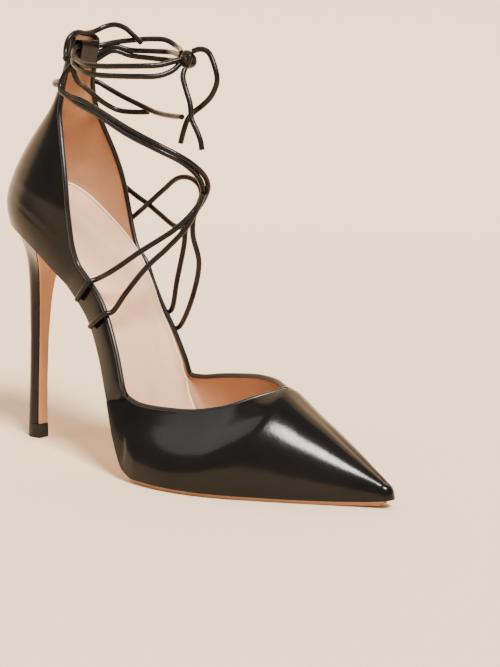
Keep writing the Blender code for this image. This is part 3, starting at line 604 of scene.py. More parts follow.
def vamp_point(column_place, side, rise, lift=SEAM_STEP):
    """Inner face of the vamp from the feather edge, rise 0, to its ridge or topline, rise 1."""
    name = "lateral" if side < 0 else "medial"
    share = vamp_share(column_place)
    foot, up, out = feather(column_place, side)
    start = foot + up * (SOLE + GAP)
    top = vamp_top(share, side)
    flare = math.radians(read(SLOPES, name + "_flare", share, "feather"))
    lean = math.radians(read(SLOPES, name + "_lean", share, "feather"))
    reach = np.linalg.norm(top - start)
    first = start + 0.40 * reach * (up * math.cos(flare) + out * math.sin(flare))
    second = top + 0.36 * reach * (out * math.cos(lean) - up * math.sin(lean))
    return bezier(start, first, second, top, rise) + out * lift * min(1.0, 8 * (1 - rise))


def band_point(column_place, side, rise):
    """Inner face of the band along the waist and round the foot of the counter."""
    foot, up, out = feather(column_place, side)
    start = foot + up * (SOLE + GAP)
    kind, place = column_place
    share = foot[0] / SHOE_LENGTH + 0.5
    height = BAND_HEIGHT * read(BAND, "lateral" if side < 0 else "medial", share, "along")
    if kind == "seat":
        up = unit(up * (1 - place) + np.array([0.0, 0.0, place]))
    bulge = 0.0012 * math.sin(rise * math.pi * 0.75)
    lean = 0.0014 * rise
    return start + up * height * rise + out * (bulge + lean)


def counter_section(turn, side, level):
    """Point of the counter's own sections, before they are blended into the band."""
    base_front = band_point(("seat", 0.0), -1, 1.0)
    base_back = band_point(("seat", 1.0), -1, 1.0)
    outer = side < 0
    wide = COUNTER_HALF_WIDTH * read(COUNTER, "lateral" if outer else "medial", level, "level")
    front = read(COUNTER, "front" if outer else "inner_front", level, "level")
    back = read(COUNTER, "back", level, "level")
    share, half = seat_curve(front, back, wide, 0.0, read(COUNTER, "swell", level, "level"), turn)
    front_z = base_front[2] + TAB_HEIGHT * read(COUNTER, "front_rise", level, "level")
    back_z = base_back[2] + TAB_HEIGHT * read(COUNTER, "back_rise", level, "level")
    run = (front - share) / (front - back)
    return np.array([along_x(share), HEEL_ASIDE + side * half, front_z + (back_z - front_z) * run])


def counter_point(turn, side, level):
    """Inner face of the counter and its tab above the band, level 0 to 1."""
    fade = max(0.0, 1 - level / 0.45) ** 2
    start = band_point(("seat", turn), side, 1.0) - counter_section(turn, side, 0.0)
    return counter_section(turn, side, level) + start * fade


class Skin:
    """Points and faces of one open surface, with shared points kept once."""

    def __init__(self):
        self.points = []
        self.keys = {}
        self.faces = []

    def at(self, point):
        key = tuple(np.round(np.asarray(point) / 1e-6).astype(int))
        if key not in self.keys:
            self.keys[key] = len(self.points)
            self.points.append(np.asarray(point, float))
        return self.keys[key]

    def grid(self, rows, turned):
        for low, high in zip(rows[:-1], rows[1:]):
            for k in range(len(low) - 1):
                corners = [self.at(low[k]), self.at(low[k + 1]), self.at(high[k + 1]), self.at(high[k])]
                corners = list(dict.fromkeys(corners))
                if len(corners) > 2:
                    self.faces.append(corners[::-1] if turned else corners)


def normals_of(points, faces):
    normals = np.zeros((len(points), 3))
    for face in faces:
        total = np.zeros(3)
        for a, b in zip(face, face[1:] + face[:1]):
            total += np.cross(points[a], points[b])
        for corner in face:
            normals[corner] += total
    return normals / np.linalg.norm(normals, axis=1)[:, None]


def turn_at(share):
    """Turn round the seat at which the feather edge reaches a share of the length."""
    low, high = 0.0, 1.0
    for _ in range(30):
        middle = (low + high) / 2
        foot = feather(("seat", middle), -1)[0]
        if foot[0] > along_x(share):
            low = middle
        else:
            high = middle
    return low


def wall_point(column_place, side, reach):
    """Point of the upper's inner face at a distance up the wall from its lower edge."""
    kind, place = column_place
    last = column(topline(side), "feather")[-1]
    steps = [k / 12 for k in range(13)]
    if kind == "side" and place > last:
        line = [vamp_point(column_place, side, step, 0.0) for step in steps]
    else:
        line = [band_point(column_place, side, step) for step in steps]
    if kind == "seat":
        line += [counter_point(place, side, step) for step in steps[1:]]
    for low, high in zip(line[:-1], line[1:]):
        length = np.linalg.norm(high - low)
        if reach <= length:
            return low + (high - low) * reach / length
        reach -= length
    return line[-1]


def place_of(along, across, height):
    """Point from shares of the shoe's length, ball width, and heel and tab heights."""
    z = HEEL_HEIGHT * min(height, 1.0) + TAB_HEIGHT * max(height - 1.0, 0.0)
    return np.array([along_x(along), BALL_WIDTH * across, z])


def route_points(table):
    return [place_of(*row) for row in table[1:]]


def round_band(share, side):
    """Lace points that run up the outer face of the band and over its top edge."""
    place = ("side", share)
    up = unit(band_point(place, side, 1.0) - band_point(place, side, 0.6))
    ahead = band_point(("side", share + 0.01), side, 0.8) - band_point(("side", share - 0.01), side, 0.8)
    out = side * unit(np.cross(up, ahead))
    clear = WALL + LACE / 2 + 2 * GAP
    line = [band_point(place, side, rise) + out * clear for rise in (0.16, 0.5, 0.85)]
    top = band_point(place, side, 1.0)
    line.append(top + out * clear * 0.85 + up * clear * 0.6)
    if side < 0:
        line.append(top + out * WALL * 0.3 + up * clear * 0.95)
    return line


def smooth_line(points):
    """Points about 1 mm apart on a curve through the route points."""
    line = np.vstack([2 * points[0] - points[1], points, 2 * points[-1] - points[-2]])
    times = [0.0]
    for low, high in zip(line[:-1], line[1:]):
        times.append(times[-1] + math.sqrt(max(np.linalg.norm(high - low), 1e-6)))
    dense = []
    for k in range(1, len(line) - 2):
        a, b, c, d = line[k - 1 : k + 3]
        ta, tb, tc, td = times[k - 1 : k + 3]
        count = max(2, int(np.linalg.norm(c - b) / 0.001) + 1)
        for t in np.linspace(tb, tc, count, endpoint=False):
            ab = (tb - t) / (tb - ta) * a + (t - ta) / (tb - ta) * b
            bc = (tc - t) / (tc - tb) * b + (t - tb) / (tc - tb) * c
            cd = (td - t) / (td - tc) * c + (t - tc) / (td - tc) * d
            abc = (tc - t) / (tc - ta) * ab + (t - ta) / (tc - ta) * bc
            bcd = (td - t) / (td - tb) * bc + (t - tb) / (td - tb) * cd
            dense.append((tc - t) / (tc - tb) * abc + (t - tb) / (tc - tb) * bcd)
    return np.array(dense + [line[-2]])


def knot_place():
    return place_of(0.486, 0.006, 1.846)


def clear_of_knot(line):
    room = KNOT / 2 + 0.20 * LACE
    return np.array([point for point in line if np.linalg.norm(point - knot_place()) > room])


# Lining, and half sizes of the binding over the topline and of the roll round the foot bed
LINING = 0.0007
LINING_SEAM = 0.00002
BINDING_WIDE = 0.0012
BINDING_THICK = 0.00125
SOCK_ROLL = 0.0006

# How finely the surfaces are divided
TOE_COLUMNS = 10
TOE_LAST_TURN = 0.96
RIDGE_COLUMNS = 34
TOPLINE_COLUMNS = 40
BAND_COLUMNS = 30
SEAT_COLUMNS = 40
RISE_STEPS = 20
COUNTER_ROWS = 60
BED_COLUMNS = (30, 50, 46)
BED_ACROSS = 40
HEEL_ACROSS = 26
STEM_ROWS = 24
FLARE_ROWS = 40
CASING_CORNERS = 48
CASING_ROWS = 20
LACE_SIDES = 16
LACE_STEP = 0.0013

# Turns of the knot: angle round the upright axis, radius in millimetres and lean, with their wave
KNOT_TURNS = ((0.2, 3.0, 0.5), (1.2, 2.7, -0.6), (2.2, 3.2, 0.2), (2.9, 2.5, -1.1))
KNOT_WAVE = 0.9
KNOT_LEAN = 1.2
KNOT_POINTS = 40
KNOT_LACE = 0.94

# Leathers and rubber: two colours that drift into each other, roughness, grain per metre, depth of the
# relief, reflection, and how the drift stretches along, across and up the shoe. On the nude sock the drift,
# stretched into lengthwise streaks, is painted sheen over the sock's own nude tone
LOOKS = {
    "glossy_black_leather": ((0.0030, 0.0028, 0.0027), (0.0062, 0.0055, 0.0050), 0.17, 900, 0.07, 0.22, None),
    "edge_binding": ((0.0040, 0.0045, 0.0054), (0.0070, 0.0075, 0.0085), 0.30, 1100, 0.12, 0.40, None),
    "tan_lining": ((0.40, 0.200, 0.100), (0.50, 0.270, 0.145), 0.50, 800, 0.16, 0.3, None),
    "sole_leather": ((0.40, 0.200, 0.095), (0.48, 0.260, 0.135), 0.46, 700, 0.14, 0.3, (0.4, 1.4, 1.0)),
    # Nude sock: the drift between its two colours, stretched lengthwise, is painted sheen over its own nude
    # tone
    "nude_sock_and_painted_sheen": ((0.78, 0.46, 0.27), (0.85, 0.56, 0.36), 0.44, 900, 0.10, 0.3, (0.15, 2.6, 0.5)),
    "sock_edge": ((0.86, 0.66, 0.47), (0.90, 0.72, 0.54), 0.45, 900, 0.10, 0.5, None),
    "lace_leather": ((0.0036, 0.0032, 0.0030), (0.0085, 0.0072, 0.0064), 0.27, 1200, 0.22, 0.24, None),
    "lift_rubber": ((0.0040, 0.0040, 0.0040), (0.0080, 0.0075, 0.0070), 0.50, 1500, 0.20, 0.3, None),
}

# Studio: colours of the paper and the air, then each light's direction, strength, spread and tint
PAPER = (0.90, 0.69, 0.48)
AIR = (1.0, 0.93, 0.84)
AIR_STRENGTH = 0.42
LIGHTS = (("key", (0.9, -0.5, 1.3), 7.2, 17), ("fill", (-0.8, -0.9, 1.6), 0.9, 40))
LIGHT_TINT = (1.0, 0.97, 0.93)
PAPER_NEAR, PAPER_BEND, PAPER_RADIUS, PAPER_TOP, PAPER_HALF_WIDTH = -3.0, 0.9, 0.5, 3.0, 4.0


def shader_node(material, kind, settings, sources):
    """Shader node with its sockets set, and fed by other nodes' outputs."""
    node = material.node_tree.nodes.new(kind)
    for socket, value in settings.items():
        node.inputs[socket].default_value = value
    for socket, source in sources.items():
        material.node_tree.links.new(source, node.inputs[socket])
    return node


def leather(name):
    """Leather or rubber with pores, fine grain and a slow drift between two colours; on the nude sock the
    drift is painted sheen in lengthwise streaks.
    """
    colour, second, roughness, grain, relief, reflection, tone_and_sheen_stretch = LOOKS[name]
    material = bpy.data.materials.new(name)
    material.use_nodes = True
    shader = material.node_tree.nodes["Principled BSDF"]

    def node(kind, settings, **sources):
        return shader_node(material, kind, settings, sources)

    place = node("ShaderNodeTexCoord", {}).outputs["Object"]
    tone_and_sheen_place = place
    if tone_and_sheen_stretch:
        tone_and_sheen_place = node("ShaderNodeMapping", {"Scale": tone_and_sheen_stretch}, Vector=place).outputs["Vector"]
    # This drift is the leather's own uneven tone, and on the nude sock it is painted sheen in lengthwise
    # streaks
    tone_and_sheen = node("ShaderNodeTexNoise", {"Scale": 38.0, "Detail": 5.0, "Roughness": 0.6}, Vector=tone_and_sheen_place)
    share = node("ShaderNodeMapRange", {"From Min": 0.32, "From Max": 0.68}, Value=tone_and_sheen.outputs["Fac"])
    mix = material.node_tree.nodes.new("ShaderNodeMix")
    mix.data_type = "RGBA"
    mix.inputs["A"].default_value = (*colour, 1.0)
    mix.inputs["B"].default_value = (*second, 1.0)
    pores = node("ShaderNodeTexVoronoi", {"Scale": grain}, Vector=place)
    fine = node("ShaderNodeTexNoise", {"Scale": grain * 0.45, "Detail": 6.0}, Vector=place)
    height = material.node_tree.nodes.new("ShaderNodeMath")
    height.operation = "ADD"
    bump = node("ShaderNodeBump", {"Strength": relief, "Distance": 0.0002}, Height=height.outputs["Value"])
    span = {"To Min": roughness - 0.04, "To Max": roughness + 0.06}
    gloss = node("ShaderNodeMapRange", span, Value=fine.outputs["Fac"])
    for source, socket in (
        (share.outputs["Result"], mix.inputs["Factor"]),
        (mix.outputs["Result"], shader.inputs["Base Color"]),
        (pores.outputs["Distance"], height.inputs[0]),
        (fine.outputs["Fac"], height.inputs[1]),
        (bump.outputs["Normal"], shader.inputs["Normal"]),
        (gloss.outputs["Result"], shader.inputs["Roughness"]),
    ):
        material.node_tree.links.new(source, socket)
    shader.inputs["Specular IOR Level"].default_value = reflection
    return material


def put(name, points, faces, material, sharp=40):
    """Closed piece from points and faces, riding on the shoe's one body."""
    mesh = bpy.data.meshes.new(name)
    mesh.from_pydata([tuple(point) for point in points], [], faces)
    work = bmesh.new()
    work.from_mesh(mesh)
    bmesh.ops.remove_doubles(work, verts=work.verts, dist=1e-6)
    bmesh.ops.recalc_face_normals(work, faces=work.faces)
    work.to_mesh(mesh)
    work.free()
    mesh.shade_smooth()
    mesh.set_sharp_from_angle(angle=math.radians(sharp))
    mesh.materials.append(material)
    made = bpy.data.objects.new(name, mesh)
    bpy.context.scene.collection.objects.link(made)
    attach(made, "root")
    return made


def vamp_columns(side):
    """Columns of the vamp, from the tip of the toe round to the end of the topline."""
    last = column(topline(side), "feather")[-1]
    throat = column(RIDGE, "feather")[-1]
    tip = column(OUTLINE, "along")[0]
    places = [("toe", float(turn)) for turn in np.linspace(0.0, TOE_LAST_TURN, TOE_COLUMNS)]
    ridge = np.linspace(tip, throat, RIDGE_COLUMNS)
    shares = np.concatenate([ridge, np.linspace(throat - 0.008, last, TOPLINE_COLUMNS)])
    return places + [("side", float(share)) for share in shares]


def band_columns(side):
    """Columns of the band, from the vamp's seam to the front of the seat."""
    last = column(topline(side), "feather")[-1]
    shares = np.linspace(last - 0.004, seat_front() + 0.006, BAND_COLUMNS)
    return [("side", float(share)) for share in shares]


def seat_turns(count):
    return [float(turn) for turn in np.linspace(0.0, 1.0, count)]


def inner_skin():
    """Inner face of the whole upper: vamp, bands, and the counter with its tab."""
    skin = Skin()
    rises = [k / RISE_STEPS for k in range(RISE_STEPS + 1)]
    heights = [float(height) for height in np.linspace(0.0, 1.0, COUNTER_ROWS)]
    turns = seat_turns(SEAT_COLUMNS)
    for side in (-1, 1):
        rows = [[vamp_point(place, side, rise) for rise in rises] for place in vamp_columns(side)]
        rows += [[vamp_point(vamp_columns(side)[-1], side, rise, 0.0) for rise in rises]]
        rows += [[band_point(place, side, rise) for rise in rises] for place in band_columns(side)]
        rows += [[band_point(("seat", turn), side, rise) for rise in rises] for turn in turns]
        skin.grid([[counter_point(turn, side, height) for height in heights] for turn in turns], side < 0)
        skin.grid(rows, side < 0)
    return skin


def wall(skin, low, high):
    """Closed wall between two distances outside the inner face."""
    points = np.array(skin.points)
    out = -normals_of(points, skin.faces)
    count = len(points)
    faces = [list(face) for face in skin.faces]
    faces += [[corner + count for corner in face[::-1]] for face in skin.faces]
    edges = {}
    for face in skin.faces:
        for a, b in zip(face, face[1:] + face[:1]):
            edges[(a, b)] = True
    for a, b in edges:
        if (b, a) not in edges:
            faces.append([b, a, a + count, b + count])
    return np.vstack([points + out * low, points + out * high]), faces


def tube_faces(rings):
    """Points and faces of a closed tube through rings of points."""
    count = len(rings[0])
    faces = []
    for level in range(len(rings) - 1):
        for k in range(count):
            here, beside = level * count + k, level * count + (k + 1) % count
            faces.append([here, beside, beside + count, here + count])
    faces.append(list(range(count))[::-1])
    faces.append([(len(rings) - 1) * count + k for k in range(count)])
    return [point for ring in rings for point in ring], faces


def edge_strip(line, out, wide, thick, sides=14):
    """Folded strip over an edge: a flat oval section that follows the edge and leans with the wall."""
    rings = []
    for k, here in enumerate(line):
        along = unit(line[min(k + 1, len(line) - 1)] - line[max(k - 1, 0)])
        across = unit(out[k] - along * float(out[k] @ along))
        down = np.cross(along, across)
        ring = []
        for j in range(sides):
            angle = 2 * math.pi * j / sides
            ring.append(here + across * thick * math.cos(angle) + down * wide * math.sin(angle))
        rings.append(ring)
    return tube_faces(rings)


def even(line, step):
    """Points of a line at even distances."""
    line = np.array(line)
    run = np.concatenate([[0.0], np.cumsum(np.linalg.norm(np.diff(line, axis=0), axis=1))])
    count = max(3, int(run[-1] / step) + 1)
    at = np.linspace(0.0, run[-1], count)
    return np.stack([np.interp(at, run, line[:, axis]) for axis in range(3)], axis=1)


def topline_points(side, skin, out):
    """Free edge of one side, from the throat to the back of the tab, with the wall's outward direction."""
    throat = column(RIDGE, "feather")[-1]
    columns = [place for place in vamp_columns(side) if place[0] == "side" and place[1] <= throat]
    line = [vamp_point(place, side, 1.0) for place in columns]
    line += [band_point(place, side, 1.0) for place in band_columns(side)]
    line += [counter_point(0.0, side, float(height)) for height in np.linspace(0.0, 1.0, COUNTER_ROWS)]
    line += [counter_point(turn, side, 1.0) for turn in seat_turns(SEAT_COLUMNS)[1:]]
    return np.array(line), np.array([out[skin.at(point)] for point in line])


def make_upper(black, tan, binding):
    """Outer leather and lining of the upper, and the binding along its free edge."""
    skin = inner_skin()
    points, faces = wall(skin, LINING + LINING_SEAM, WALL)
    outer = put("upper_leather", points, faces, black)
    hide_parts("upper")
    points, faces = wall(skin, 0.0, LINING)
    put("lining", points, faces, tan)
    out = -normals_of(np.array(skin.points), skin.faces)
    points, faces = [], []
    for side in (-1, 1):
        line, lean = topline_points(side, skin, out)
        middle = line + lean * WALL / 2
        spread = even(middle, 0.0012)
        places = np.array([np.argmin(np.linalg.norm(middle - point, axis=1)) for point in spread])
        smooth = lean[places]
        for _ in range(6):
            smooth[1:-1] = (smooth[:-2] + smooth[1:-1] * 2 + smooth[2:]) / 4
            spread[1:-1] = (spread[:-2] + spread[1:-1] * 2 + spread[2:]) / 4
        some, cells = edge_strip(spread, smooth, BINDING_WIDE, BINDING_THICK)
        faces += [[corner + len(points) for corner in cell] for cell in cells]
        points += some
    put("topline_binding", points, faces, binding, 60)


def plank(rows):
    """Points and faces of a closed slab from rows of lower and upper points."""
    across = len(rows[0][0])
    points = [point for low, high in rows for point in (*low, *high)]
    faces = []

    def at(row, k, top):
        return row * 2 * across + k + (across if top else 0)

    for row in range(len(rows) - 1):
        for k in range(across - 1):
            faces.append([at(row, k, 0), at(row + 1, k, 0), at(row + 1, k + 1, 0), at(row, k + 1, 0)])
            faces.append([at(row, k, 1), at(row, k + 1, 1), at(row + 1, k + 1, 1), at(row + 1, k, 1)])
        for k in (0, across - 1):
            side = [at(row, k, 0), at(row, k, 1), at(row + 1, k, 1), at(row + 1, k, 0)]
            faces.append(side if k == 0 else side[::-1])
    for row in (0, len(rows) - 1):
        end = [at(row, k, 0) for k in range(across)] + [at(row, k, 1) for k in reversed(range(across))]
        faces.append(end if row == 0 else end[::-1])
    return points, faces


def bed_places():
    """Columns of the foot bed, from near the toe to near the back of the seat."""
    fore, waist, seat = BED_COLUMNS
    shares = np.concatenate([np.linspace(0.955, 0.52, fore), np.linspace(0.51, seat_front() + 0.004, waist)])
    places = [("side", float(share)) for share in shares]
    return places + [("seat", turn) for turn in seat_turns(seat) if turn < 0.97]


def bed_line(column_place):
    """Lower and upper corner of the foot bed on each side, and its thickness in the middle."""
    ends = []
    for side, name in ((-1, "lateral"), (1, "medial")):
        foot, up, out = feather(column_place, side)
        share = foot[0] / SHOE_LENGTH + 0.5
        clear = out * (WALL + 1.5 * GAP if share > 0.42 else 1.5 * GAP)
        low = foot + up * (SOLE + GAP) - clear
        reach = INSOLE_RIM * read(INSOLE, name, share, "along")
        ends.append((low, wall_point(column_place, side, reach) - clear))
    return ends, up * INSOLE_SEAT * read(INSOLE, "middle", share, "along")


def make_insole(nude_and_sheen, roll):
    """Cupped foot bed of nude leather with painted sheen in lengthwise streaks, and a lighter roll round its
    edge.
    """
    rows, edges = [], ([], [])
    for place in bed_places():
        ((outer_low, outer_high), (inner_low, inner_high)), thick = bed_line(place)
        low, high = [], []
        for k in range(BED_ACROSS + 1):
            across = (1 - math.cos(math.pi * k / BED_ACROSS)) / 2
            bottom = outer_low + (inner_low - outer_low) * across
            rim = outer_high + (inner_high - outer_high) * across
            edge = abs(2 * across - 1) ** 5
            low.append(bottom)
            high.append(bottom + thick + (rim - bottom - thick) * edge)
        rows.append((low, high))
        edges[0].append(high[0])
        edges[1].append(high[-1])
    points, faces = plank(rows)
    bed = put("insole_sock", points, faces, nude_and_sheen, 50)
    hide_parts("insole")
    line = even(edges[0] + edges[1][::-1], 0.0014)
    for _ in range(4):
        line[1:-1] = (line[:-2] + line[1:-1] * 2 + line[2:]) / 4
    upward = np.tile([0.0, 0.0, 1.0], (len(line), 1))
    points, faces = edge_strip(line, upward, SOCK_ROLL, SOCK_ROLL, 10)
    put("insole_edge", points, faces, roll, 60)


def ring_turns(steps=HEEL_ACROSS):
    """Turns of a heel section from its front, round one side, the back and the other side."""
    return [(-1, k / steps) for k in range(steps + 1)] + [(1, 1 - k / steps) for k in range(1, steps + 1)]


def stem_ring(height_share, turns):
    """Section of the heel's stem at a share of its height."""
    back = along_x(read(STEM, "back", height_share, "height"))
    depth = STEM_DEPTH * read(STEM, "depth", height_share, "height")
    half = STEM_WIDTH / 2 * read(STEM, "width", height_share, "height")
    ring = []
    for side, turn in turns:
        angle = turn * math.pi / 2
        x = back + depth * (1 - math.sin(angle) ** 0.9)
        round_off = 0.74 + 0.26 * math.sin(min(turn / 0.4, 1.0) * math.pi / 2)
        y = HEEL_ASIDE + side * half * round_off * math.cos(angle) ** 0.75 if turn < 1 else HEEL_ASIDE
        ring.append(np.array([x, y, height_share * HEEL_HEIGHT]))
    return ring


def flare_ring(rise, steps=HEEL_ACROSS):
    """Section of the heel's flare, from the stem, rise 0, to the seat, rise 1."""
    start = turn_at(BREAST_AT)
    stem = stem_ring(STEM_FOOT / HEEL_HEIGHT, ring_turns(steps))
    spread = read(FLARE, "spread", rise, "rise")
    ring = []
    for low, (side, turn) in zip(stem, ring_turns(steps)):
        foot, up, out = feather(("seat", start + (1 - start) * turn), side)
        high = foot + up * SOLE
        plan = low + (high - low) * spread
        ring.append(np.array([plan[0], plan[1], low[2] + (high[2] - low[2]) * rise]))
    return ring


def make_heel(black, tan, rubber):
    """Smooth heel cover, and the finishes of the sole, the breast and the top lift."""
    lowest = (LIFT_HEIGHT + GAP) / HEEL_HEIGHT
    stem = [stem_ring(float(share), ring_turns()) for share in np.linspace(lowest, 0.52, STEM_ROWS)]
    rings = stem + [flare_ring(float(rise)) for rise in np.linspace(0.0, 1.0, FLARE_ROWS)]
    points, faces = tube_faces(rings)
    block = put("heel_cover", points, faces, black, 55)
    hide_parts("heel")
    for node, material in (("heel_breast", tan), ("outsole", tan), ("top_lift", rubber)):
        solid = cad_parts[node]
        solid.data.materials.clear()
        solid.data.materials.append(material)


def lace_tree():
    """Round cord along each curve, with its thickness and sides as inputs."""
    tree = bpy.data.node_groups.new("round_lace", "GeometryNodeTree")
    tree.interface.new_socket("Path", in_out="INPUT", socket_type="NodeSocketGeometry")
    sizes = {}
    for name, kind, value in (("Thickness", "NodeSocketFloat", LACE), ("Sides", "NodeSocketInt", LACE_SIDES)):
        socket = tree.interface.new_socket(name, in_out="INPUT", socket_type=kind)
        socket.default_value = value
        sizes[name] = socket.identifier
    finish = tree.interface.new_socket("Finish", in_out="INPUT", socket_type="NodeSocketMaterial")
    sizes["Finish"] = finish.identifier
    tree.interface.new_socket("Cord", in_out="OUTPUT", socket_type="NodeSocketGeometry")
    nodes, links = tree.nodes, tree.links
    given, made = nodes.new("NodeGroupInput"), nodes.new("NodeGroupOutput")
    half = nodes.new("ShaderNodeMath")
    half.operation = "MULTIPLY"
    half.inputs[1].default_value = 0.5
    ring = nodes.new("GeometryNodeCurvePrimitiveCircle")
    sweep = nodes.new("GeometryNodeCurveToMesh")
    sweep.inputs["Fill Caps"].default_value = True
    smooth = nodes.new("GeometryNodeSetShadeSmooth")
    real = nodes.new("GeometryNodeRealizeInstances")
    paint = nodes.new("GeometryNodeSetMaterial")
    links.new(given.outputs["Thickness"], half.inputs[0])
    links.new(half.outputs["Value"], ring.inputs["Radius"])
    links.new(given.outputs["Sides"], ring.inputs["Resolution"])
    links.new(given.outputs["Path"], sweep.inputs["Curve"])
    links.new(ring.outputs["Curve"], sweep.inputs["Profile Curve"])
    links.new(sweep.outputs["Mesh"], smooth.inputs["Geometry"])
    links.new(smooth.outputs["Geometry"], real.inputs["Geometry"])
    links.new(real.outputs["Geometry"], paint.inputs["Geometry"])
    links.new(given.outputs["Finish"], paint.inputs["Material"])
    links.new(paint.outputs["Geometry"], made.inputs["Cord"])
    return tree, sizes


def path_of(name, lines, closed=False):
    """Curve object through the points of each line."""
    path = bpy.data.curves.new(name, "CURVE")
    path.dimensions = "3D"
    for line in lines:
        spline = path.splines.new("POLY")
        spline.points.add(len(line) - 1)
        for target, point in zip(spline.points, line):
            target.co = (*point, 1.0)
        spline.use_cyclic_u = closed
    made = bpy.data.objects.new(name, path)
    bpy.context.scene.collection.objects.link(made)
    return made


def swept(name, lines, material, tree, sizes, thickness=LACE, closed=False):
    """Mesh of round cord along the lines, made by the lace tree."""
    guide = path_of(name + "_path", lines, closed)
    sweep = guide.modifiers.new("round_lace", "NODES")
    sweep.node_group = tree
    sweep[sizes["Thickness"]] = thickness
    sweep[sizes["Sides"]] = LACE_SIDES
    sweep[sizes["Finish"]] = material
    graph = bpy.context.evaluated_depsgraph_get()
    mesh = bpy.data.meshes.new_from_object(guide.evaluated_get(graph))
    mesh.name = name
    guide.modifiers.remove(sweep)
    bpy.data.objects.remove(guide, do_unlink=True)
    work = bmesh.new()
    work.from_mesh(mesh)
    bmesh.ops.remove_doubles(work, verts=work.verts, dist=1e-6)
    bmesh.ops.recalc_face_normals(work, faces=work.faces)
    work.to_mesh(mesh)
    work.free()
    made = bpy.data.objects.new(name, mesh)
    bpy.context.scene.collection.objects.link(made)
    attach(made, "root")
    return made


def strands_of_net():
    """Centre lines of the strands that cross the instep and run round the ankle."""
    outer = [round_band(share, -1) for share in OUTER_LOOPS]
    inner = [round_band(share, 1)[::-1] for share in INNER_LOOPS]
    routes = [route_points(TURN_TOP), route_points(TURN_MID)]
    routes += [route_points(PAIR_TOP)[:-1] + inner[0], route_points(PAIR_LOW)[:-1] + inner[1]]
    routes += [outer[0] + route_points(NEAR_TOP)[1:], outer[1] + route_points(NEAR_LOW)[1:]]
    routes += [route_points(table) for table in (FAR_X, LOW_FAR, LOW_NEAR)]
    return [smooth_line(np.array(route)) for route in routes]


def knot_wraps():
    """Short turns of lace that wind round each other where the bow is tied."""
    wraps = []
    for tilt, size, lean in KNOT_TURNS:
        turn = Matrix.Rotation(tilt, 3, "Z") @ Matrix.Rotation(lean + KNOT_LEAN, 3, "X")
        loop = []
        for k in range(KNOT_POINTS):
            angle = 2 * math.pi * k / KNOT_POINTS
            wave = KNOT_WAVE * math.sin(2 * angle + tilt)
            flat = Vector((size * math.cos(angle), size * math.sin(angle), wave))
            loop.append(knot_place() + np.array(turn @ flat) / 1000)
        wraps.append(loop)
    return wraps


def make_laces(lace):
    """Joined strands, knot, and the free loops and ends as cords."""
    tree, sizes = lace_tree()
    net = swept("lace_strands", [even(line, LACE_STEP) for line in strands_of_net()], lace, tree, sizes)
    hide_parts("lace_net")
    knot = swept("lace_knot", knot_wraps(), lace, tree, sizes, LACE * KNOT_LACE, True)
    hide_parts("knot")
    ends = (
        ("bow_loop", BOW_LOOP, "bare"),
        ("bow_strand", BOW_STRAND, "bare"),
        ("top_loop", TOP_LOOP, "object"),
    )
    for name, table, far_end in ends:
        line = even(clear_of_knot(smooth_line(np.array(route_points(table)))), LACE_STEP)
        cord = path_of("lace_" + name, [line])
        cord.data.bevel_depth = LACE / 2
        cord.data.bevel_resolution = 4
        cord.data.use_fill_caps = True
        cord.data.materials.append(lace)
        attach(cord, "root")
        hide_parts(name)


def casing_loop(inset):
    """Rounded section of the casing on the tab, drawn in by a distance."""
    ends = [counter_point(1.0, -1, level) for level in (0.905, 0.982)]
    forward = np.array([1.0, 0.0, 0.0])
    rise = ends[1] - ends[0]
    up = unit(rise)
    tall = np.linalg.norm(rise) / 2 - inset
    bore = LACE / 2 + 3.6 * GAP
    deep = bore + CASING_WALL - inset
    middle = (ends[0] + ends[1]) / 2 + forward * (CASING_SET + bore + CASING_WALL)
    loop = []
    for k in range(CASING_CORNERS):
        angle = 2 * math.pi * (k + 0.5) / CASING_CORNERS
        side = math.copysign(abs(math.cos(angle)) ** 0.45, math.cos(angle))
        high = math.copysign(abs(math.sin(angle)) ** 0.45, math.sin(angle))
        loop.append(middle + forward * deep * side + up * tall * high)
    return loop


def make_casing(black):
    """Leather casing on the tab, with the bore that the lace's turns run through."""
    rings = casing_loop(0.0) + casing_loop(CASING_WALL)
    ring = len(rings)
    points, faces = [], []
    for k in range(CASING_ROWS + 1):
        shift = np.array([0.0, CASING_WIDTH * (k / CASING_ROWS - 0.5), 0.0])
        points += [point + shift for point in rings]
    for j in range(CASING_CORNERS):
        beside = (j + 1) % CASING_CORNERS
        bore, bore_beside = j + CASING_CORNERS, beside + CASING_CORNERS
        for start in range(0, ring * CASING_ROWS, ring):
            faces.append([start + j, start + beside, start + beside + ring, start + j + ring])
            faces.append([start + bore, start + bore + ring, start + bore_beside + ring, start + bore_beside])
        last = ring * CASING_ROWS
        faces.append([j, bore, bore_beside, beside])
        faces.append([last + beside, last + bore_beside, last + bore, last + j])
    casing = put("tab_casing", points, faces, black)
    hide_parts("keeper")


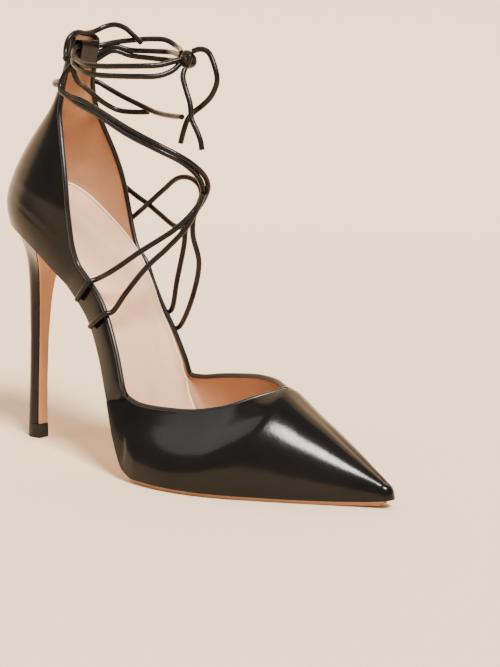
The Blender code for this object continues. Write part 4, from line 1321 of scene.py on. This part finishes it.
def paint(name, colour):
    """Plain matt colour for the studio."""
    material = bpy.data.materials.new(name)
    material.use_nodes = True
    shader = material.node_tree.nodes["Principled BSDF"]
    shader.inputs["Base Color"].default_value = (*colour, 1.0)
    shader.inputs["Roughness"].default_value = 0.85
    shader.inputs["Specular IOR Level"].default_value = 0.1
    return material


def make_studio():
    """Pale sweep under and behind the shoe, and soft lights."""
    facing = Vector((-CAMERA_BACK[0], -CAMERA_BACK[1], 0.0)).normalized()
    aside = Vector((facing.y, -facing.x, 0.0))
    profile = [(PAPER_NEAR, 0.0), (PAPER_BEND, 0.0)]
    for angle in np.linspace(0.1, math.pi / 2, 16):
        run = PAPER_BEND + PAPER_RADIUS * math.sin(angle)
        profile.append((run, PAPER_RADIUS - PAPER_RADIUS * math.cos(angle)))
    profile.append((PAPER_BEND + PAPER_RADIUS, PAPER_TOP))
    points = []
    for run, rise in profile:
        for width in (-PAPER_HALF_WIDTH, PAPER_HALF_WIDTH):
            points.append(tuple(facing * run + aside * width + Vector((0, 0, rise))))
    faces = [[2 * k, 2 * k + 1, 2 * k + 3, 2 * k + 2] for k in range(len(profile) - 1)]
    mesh = bpy.data.meshes.new("floor")
    mesh.from_pydata(points, [], faces)
    mesh.shade_smooth()
    mesh.materials.append(paint("studio_paper", PAPER))
    floor = bpy.data.objects.new("floor", mesh)
    bpy.context.scene.collection.objects.link(floor)
    world = bpy.data.worlds.new("studio")
    world.use_nodes = True
    world.node_tree.nodes["Background"].inputs["Color"].default_value = (*AIR, 1.0)
    world.node_tree.nodes["Background"].inputs["Strength"].default_value = AIR_STRENGTH
    bpy.context.scene.world = world
    for name, place, strength, spread in LIGHTS:
        lamp = bpy.data.lights.new(name, "SUN")
        lamp.energy = strength
        lamp.angle = math.radians(spread)
        lamp.color = LIGHT_TINT
        light = bpy.data.objects.new(name, lamp)
        light.location = place
        light.rotation_euler = (-Vector(place)).to_track_quat("-Z", "Y").to_euler()
        bpy.context.scene.collection.objects.link(light)


def main():
    black, tan = leather("glossy_black_leather"), leather("tan_lining")
    make_laces(leather("lace_leather"))
    make_upper(black, tan, leather("edge_binding"))
    make_insole(leather("nude_sock_and_painted_sheen"), leather("sock_edge"))
    make_heel(black, leather("sole_leather"), leather("lift_rubber"))
    make_casing(black)
    make_studio()


main()
